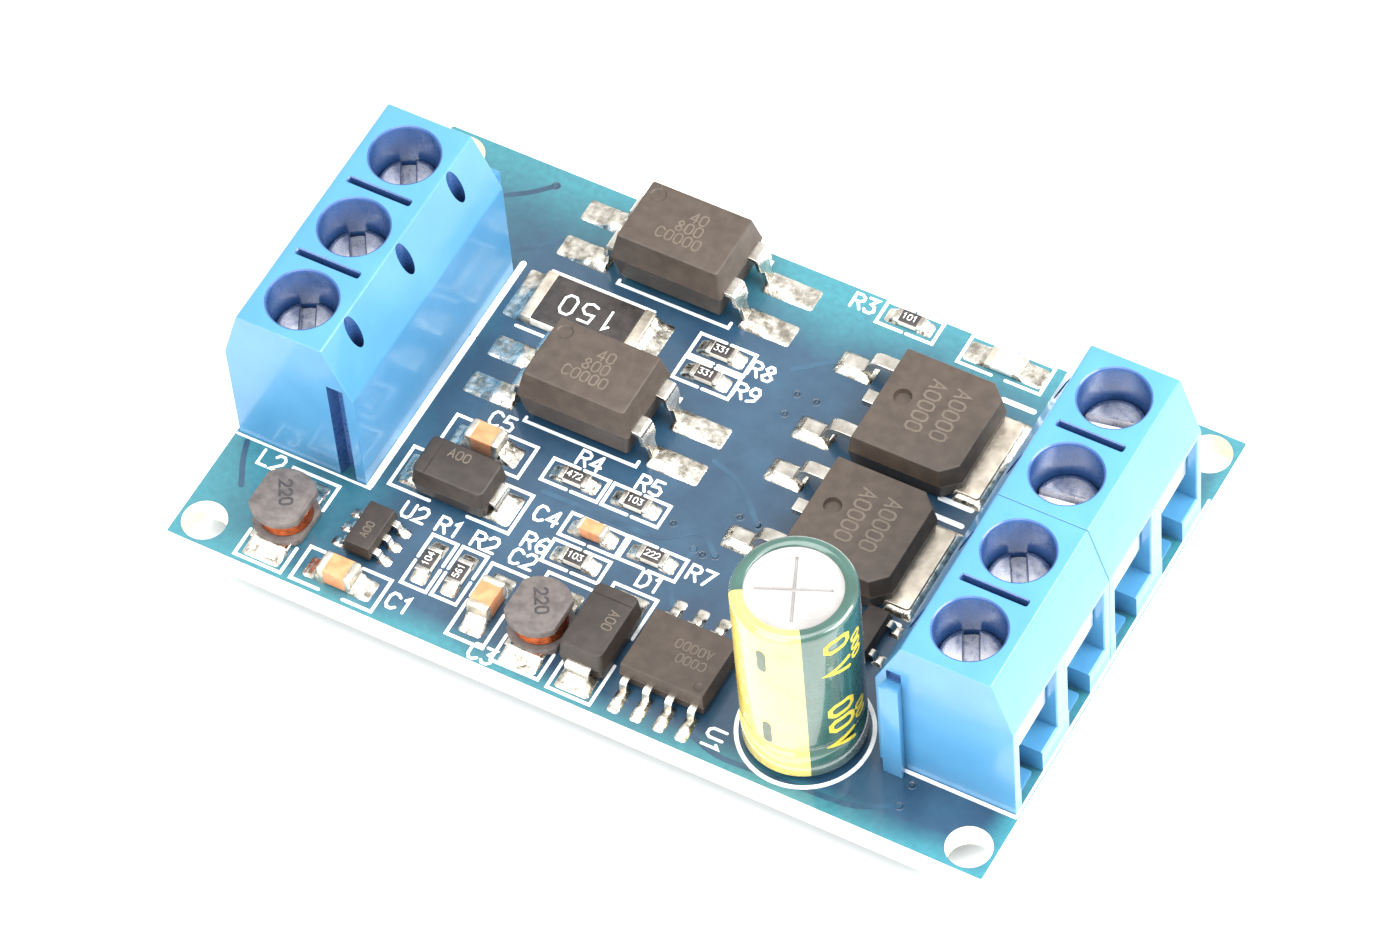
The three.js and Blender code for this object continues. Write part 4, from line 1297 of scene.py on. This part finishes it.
def winding_shape():
    """The turns of the winding, as one ring with a ridge for each turn."""
    wire, inner, z = WINDING["wire"], WINDING["inner"], WINDING["low"]
    profile = [(inner, z)]
    while z + 2 * wire < WINDING["high"]:
        for angle in (-60, -20, 20, 60):
            out, up = wire * cos(radians(angle)), wire * sin(radians(angle))
            profile.append((WINDING["outer"] + out, z + wire + up))
        z += 2 * wire
    profile.append((inner, z))
    return turned(profile, closed=True)


def make_inductor(number, pad_low, pad_high):
    """pad_low and pad_high are where the two pads end, in the board's own y."""
    part = Part(f"inductor_core_{number}")
    y = middle(part.node)[1]
    body = flange(0.02, 0.5)
    merge(body, prism(circle(0.9, 32), 0.4, 1.7))
    merge(body, flange(1.6, 2.1))
    part.stand_in("ferrite", body, "ferrite", sharp=30)
    winding = Part(f"inductor_winding_{number}", at=part.at)
    winding.stand_in("turns", winding_shape(), "copper", sharp=50)
    marks = bmesh.new()
    add_text(marks, "220", -0.62, 0.72, 0.62, -pi / 2 + 0.55, 0.12, 2.09, 2.11, 0.9)
    part.add("code", marks, "ferrite_mark")
    clips, pads = bmesh.new(), []
    for side, end in ((-1, pad_low), (1, pad_high)):
        merge(clips, soft_box(2.2, 0.62, 0.01, 0.34, 0.05), spot(0, side * 1.52))
        foot = (-0.9, 0.9, side * 1.5 - 0.3, side * 1.5 + 0.3, 0.3)
        pads.append(((-1.08, 1.08, *sorted((side * 1.0, end - y))), [foot]))
    part.add("clips", clips, "lead")
    part.solder(pads)


make_inductor(1, -13.9, -8.6)
make_inductor(2, -14.0, -8.5)

# ---------------------------------------------------------------- can capacitor

CAN = {"radius": 3.15, "bottom": 0.45, "top": 12.3, "sleeve": 0.14, "rim": 2.45}
CRIMP = {"low": 2.1, "high": 3.0, "inset": 0.28}


def can_outline(radius, bottom, top, shoulder):
    """The side of the can and of what is shrunk on it, from the bottom edge to the top edge."""
    low, high, inset = CRIMP["low"], CRIMP["high"], CRIMP["inset"]
    run = [(radius - 0.12, bottom), (radius, bottom + 0.14), (radius, low - 0.25)]
    for k in range(9):
        share = k / 8
        run.append((radius - inset * sin(pi * share) ** 1.5, low + (high - low) * share))
    run.append((radius, high + 0.25))
    for k in range(7):
        angle = k / 6 * pi / 2
        run.append((
            radius - shoulder * (1 - cos(angle)), top - shoulder + shoulder * sin(angle),
        ))
    return run


def wrap(bm, radius, step=0.25):
    """Bends a flat drawing, x round and y up, onto a cylinder about Z."""
    long_edges = [e for e in bm.edges if e.calc_length() > step]
    if long_edges:
        bmesh.ops.subdivide_edges(bm, edges=long_edges, cuts=4, use_grid_fill=True)
    for v in bm.verts:
        angle, reach = v.co.x / radius, radius + v.co.z
        v.co = (reach * cos(angle), reach * sin(angle), v.co.y)
    return bm


VENT = {"half": 1.9, "depth": 0.13, "floor": 0.02, "mouth": 0.1, "turn": 24}
MINUS_MARKS = (10.0, 3.9)
SLEEVE_WORDS = [("0", 0.1, 11.3, 1.35), ("V", 0.1, 9.2, 1.35), ("00", 0.1, 5.9, 1.35),
                ("V", 0.1, 3.1, 1.35), ("000", 1.75, 10.4, 0.7), ("00", 1.75, 4.6, 0.7)]
WORDS_TURN = -36


def make_capacitor():
    sleeve, can = Part("capacitor_sleeve"), Part("capacitor_can")
    outer, top, skin = CAN["radius"], CAN["top"], CAN["sleeve"]
    inner = outer - skin
    outside = can_outline(outer, CAN["bottom"], top, 0.34)
    inside = can_outline(inner, CAN["bottom"], top - skin, 0.3)
    lip = [(CAN["rim"] + 0.05, top), (CAN["rim"], top - 0.05), (CAN["rim"], top - skin)]
    skin_shape = turned(outside + lip + inside[::-1], 96, closed=True)
    sleeve.stand_in("vinyl", skin_shape, "sleeve", sharp=50)
    case = can_outline(inner - 0.01, CAN["bottom"] + 0.1, top - skin - 0.01, 0.3)
    dish = [(CAN["rim"] + 0.02, top - skin - 0.01), (CAN["rim"] - 0.12, top - skin - 0.06)]
    wall = inner - 0.25
    hollow = [(0, top - skin - 0.4), (wall, top - skin - 0.4), (wall, 3.1),
              (wall - CRIMP["inset"], 2.55), (wall, 2.0), (wall, CAN["bottom"] + 0.1)]
    shell = turned(case + dish + [(0, top - skin - 0.06)] + hollow, 96, closed=True)
    vents = []
    half, face = VENT["half"], top - skin - 0.06
    levels = [(face - VENT["depth"], VENT["floor"]), (face + 0.01, VENT["mouth"]),
              (face + 0.5, VENT["mouth"])]
    for turn in (0, pi / 2):
        vent = loft([
            [(-half, -h, z), (half, -h, z), (half, h, z), (-half, h, z)] for z, h in levels
        ])
        vent.transform(spot(0, 0, 0, radians(VENT["turn"]) + turn))
        vents.append(vent)
    can.stand_in("shell", carve(shell, *vents), "can", sharp=40)
    marks = bmesh.new()
    for z in MINUS_MARKS:
        add_line(marks, [(0.5, z - 0.6), (0.5, z + 0.6)], 0.5, -0.02, 0.012)
    wrap(marks, outer)
    marks.transform(spot(turn=radians(STRIPE["middle"])))
    piece("capacitor_minus_marks", marks, "sleeve_mark", at=sleeve.at)
    words = bmesh.new()
    for text, x, z, height in SLEEVE_WORDS:
        add_text(words, text, x, z, height, -pi / 2, height * 0.19, -0.02, 0.012, 0.95)
    wrap(words, outer)
    words.transform(spot(turn=radians(WORDS_TURN)))
    sleeve.add("words", words, "sleeve_print")
    refined("capacitor_bung", "rubber", bevel=0.08)
    refined("capacitor_foil_roll", "roll", bevel=0.1)
    for number in (1, 2):
        refined(f"capacitor_lead_{number}", "lead")


make_capacitor()

# ---------------------------------------------------------------- printing on the board


def bracket_box(bm, x, y, half_long, half_wide, upright=False, gap=0.14):
    """A printed frame with a gap in the middle of each long side."""
    for side in (-1, 1):
        run = [(side * gap, half_wide), (side * half_long, half_wide),
               (side * half_long, -half_wide), (side * gap, -half_wide)]
        if upright:
            run = [(-b, a) for a, b in run]
        run = [(x + a, y + b) for a, b in run]
        add_line(bm, run, PRINT["width"], PRINT["low"], PRINT["high"])


SMALL_FRAME, LARGE_FRAME = (1.62, 0.72), (2.36, 1.05)
DESIGNATORS = [
    ("L2", -21.2, -8.85), ("C5", -11.9, -1.5), ("U2", -13.05, -8.4), ("R1", -11.0, -8.4),
    ("R2", -8.95, -8.4), ("C2", -6.75, -8.45), ("C1", -10.95, -13.55), ("C3", -5.75, -14.35),
    ("R4", -6.65, -1.65), ("R5", -3.2, -1.65), ("C4", -6.95, -5.6), ("R6", -6.65, -7.3),
    ("R7", 1.75, -5.35), ("D1", -0.3, -6.85), ("R8", -1.55, 7.15), ("R9", -1.6, 5.6),
    ("R3", 1.1, 13.3),
]

# Round the terminals: both ends of each line and its width.
TERMINAL_LINES = [
    ((-23.05, -7.68), (-15.2, -7.68), 0.13),
    ((-15.3, -7.5), (-15.3, 2.9), 0.36),
    ((-15.3, 3.14), (-15.3, 8.2), 0.36),
    ((16.3, -10.58), (23.0, -10.58), 0.2),
    ((23.02, -10.58), (23.02, 10.5), 0.14),
]


def make_printing():
    bm = bmesh.new()

    def line(*points, closed=False, width=PRINT["width"]):
        add_line(bm, points, width, PRINT["low"], PRINT["high"], closed)

    for number in range(1, 10):
        upright = number >= FIRST_UPRIGHT_RESISTOR
        bracket_box(bm, *middle(f"chip_resistor_{number}"), *SMALL_FRAME, upright)
    bracket_box(bm, *middle("ceramic_capacitor_1"), *LARGE_FRAME, upright=True)
    bracket_box(bm, *middle("ceramic_capacitor_2"), *SMALL_FRAME)
    for number in (3, 4):
        bracket_box(bm, *middle(f"ceramic_capacitor_{number}"), *LARGE_FRAME, gap=0.7)
    bracket_box(bm, *middle("indicator_lamp"), 2.36, 0.92, gap=0.4)
    bracket_box(bm, *middle("rectifier_diode_1"), 3.48, 1.22, upright=True, gap=0.9)
    bracket_box(bm, *middle("rectifier_diode_2"), 3.48, 1.3, gap=1.1)
    for number, low in ((1, -14.0), (2, -14.17)):
        x, _ = middle(f"inductor_core_{number}")
        high = low + 5.9
        bracket_box(bm, x, (low + high) / 2, (high - low) / 2, 1.35, upright=True, gap=1.3)
    for number in (1, 2):
        x, y = middle(f"optocoupler_{number}")
        left, right = x - 2.99, x + 3.5
        for side, wide in ((-1, 2.24), (1, 2.5)):
            line((left, y + side * 2.0), (left, y + side * wide), (right, y + side * wide),
                 (right, y + side * 1.9))
    x, y = middle("power_resistor")
    for side in (-1, 1):
        line((x - 3.2, y + side * 1.95), (x + 2.8, y + side * 1.95))
    for y0, y1 in ((11.48, 4.65), (3.57, -3.15)):
        for y in (y0, y1):
            line((10.9, y), (12.65, y), width=0.3)
    for start, end, width in TERMINAL_LINES:
        line(start, end, width=width)
    centre_x, centre_y = SLEEVE_CENTRE.x / MM, SLEEVE_CENTRE.y / MM
    line(*circle(3.42, 72, centre_x, centre_y), closed=True, width=0.22)
    for text, x, y in DESIGNATORS:
        add_text(bm, text, x, y, 0.9, 0, PRINT["lettering"], PRINT["low"], PRINT["high"])
    add_text(bm, "U1", 7.2, -12.6, 0.9, -pi / 2, PRINT["lettering"], PRINT["low"], PRINT["high"])
    piece("board_printing", bm, "print", slot="solder_mask")


TRACKS = [
    [(-18.39, 11.7), (-17.3, 12.4), (-16.29, 13.4)],
    [(-15.99, 8.87), (-15.2, 9.6), (-14.12, 10.52), (-13.3, 10.6)],
    [(-22.35, -7.9), (-21.95, -9.0), (-21.2, -10.4)],
    [(0.4, 8.4), (1.8, 9.6), (2.6, 10.1)],
    [(-0.4, 1.6), (1.6, 1.0), (3.4, -0.9)],
    [(1.28, -3.62), (1.28, -6.3), (2.34, -7.4)],
    [(-7.2, -3.9), (-0.6, -3.9), (1.2, -2.4), (2.44, -3.52)],
    [(6.4, -13.4), (8.2, -14.0), (15.6, -13.6), (17.61, -12.53)],
    [(-12.6, -7.7), (-9.8, -7.7), (-8.8, -6.9)],
]


def make_tracks():
    bm = bmesh.new()
    for run in TRACKS:
        add_line(bm, filleted(run, 0.8), TRACK["width"], TRACK["low"], TRACK["high"])
    piece("board_tracks", bm, "track", sharp=50)
    plugs = bmesh.new()
    for x, y in VIAS:
        land = turned([
            (0, -0.12), (VIA["drill"] - 0.04, -0.1), (VIA["drill"], -0.02),
            (VIA["drill"] + 0.03, 0.012), (VIA["land"] - 0.03, 0.01), (VIA["land"], -0.01),
            (VIA["land"], -0.3), (0, -0.3),
        ], 24)
        turned_over = Matrix.Translation((x, y, -BOARD.z)) @ Matrix.Rotation(pi, 4, "X")
        merge(plugs, land.copy(), turned_over)
        merge(plugs, land, spot(x, y))
    piece("board_vias", plugs, "via", sharp=50)


CONES = {"tail": (1.25, 0.62), "lead": (0.85, 0.34)}


def make_underside():
    """Solder cones round the tails and leads that come through the board."""
    bm = bmesh.new()
    under = -BOARD.z
    places = [(x, y, *CONES["tail"]) for x, y in SCREW_AXES]
    places += [(*middle(f"capacitor_lead_{n}"), *CONES["lead"]) for n in (1, 2)]
    for x, y, land, core in places:
        cone = turned([
            (core * 0.6, under + 0.02), (land, under + 0.02), (land, under - 0.05),
            (land * 0.86, under - 0.12), (core * 1.15, under - 0.5), (core * 0.95, under - 1.0),
            (core * 0.6, under - 1.1),
        ], 32, closed=True)
        merge(bm, cone, spot(x, y))
    piece("underside_solder", bm, "solder", sharp=50)


make_printing()
make_tracks()
make_underside()

# ---------------------------------------------------------------- stage and light


def make_stage():
    bm = bmesh.new()
    bmesh.ops.create_grid(bm, x_segments=2, y_segments=2, size=3.0)
    mesh = bpy.data.meshes.new("floor")
    bm.to_mesh(mesh)
    bm.free()
    floor = put_in_scene("floor", mesh)
    mesh.materials.append(plain("floor_white", (238, 238, 236), (243, 243, 241), 0.9, 3.0, 0.0, 40))


def make_light(name, azimuth, elevation, distance, size, power):
    """A square white lamp that faces the board."""
    data = bpy.data.lights.new(name, "AREA")
    data.shape, data.size, data.energy = "SQUARE", size, power
    aim(put_in_scene(name, data), Vector((0, 0, TOP)), outward(azimuth, elevation), distance)


def make_world(strength):
    world = bpy.data.worlds.new("world")
    world.use_nodes = True
    background = world.node_tree.nodes["Background"]
    background.inputs["Color"].default_value = (1, 1, 1, 1)
    background.inputs["Strength"].default_value = strength
    bpy.context.scene.world = world


make_stage()
make_world(1.25)
make_light("key_top", 0, 86, 0.6, 0.5, 3.2)
make_light("key_right", 104, 38, 0.17, 0.12, 0.5)
make_light("fill_front", -8, 32, 0.5, 0.4, 2.35)
bpy.context.scene.view_settings.view_transform = "Standard"
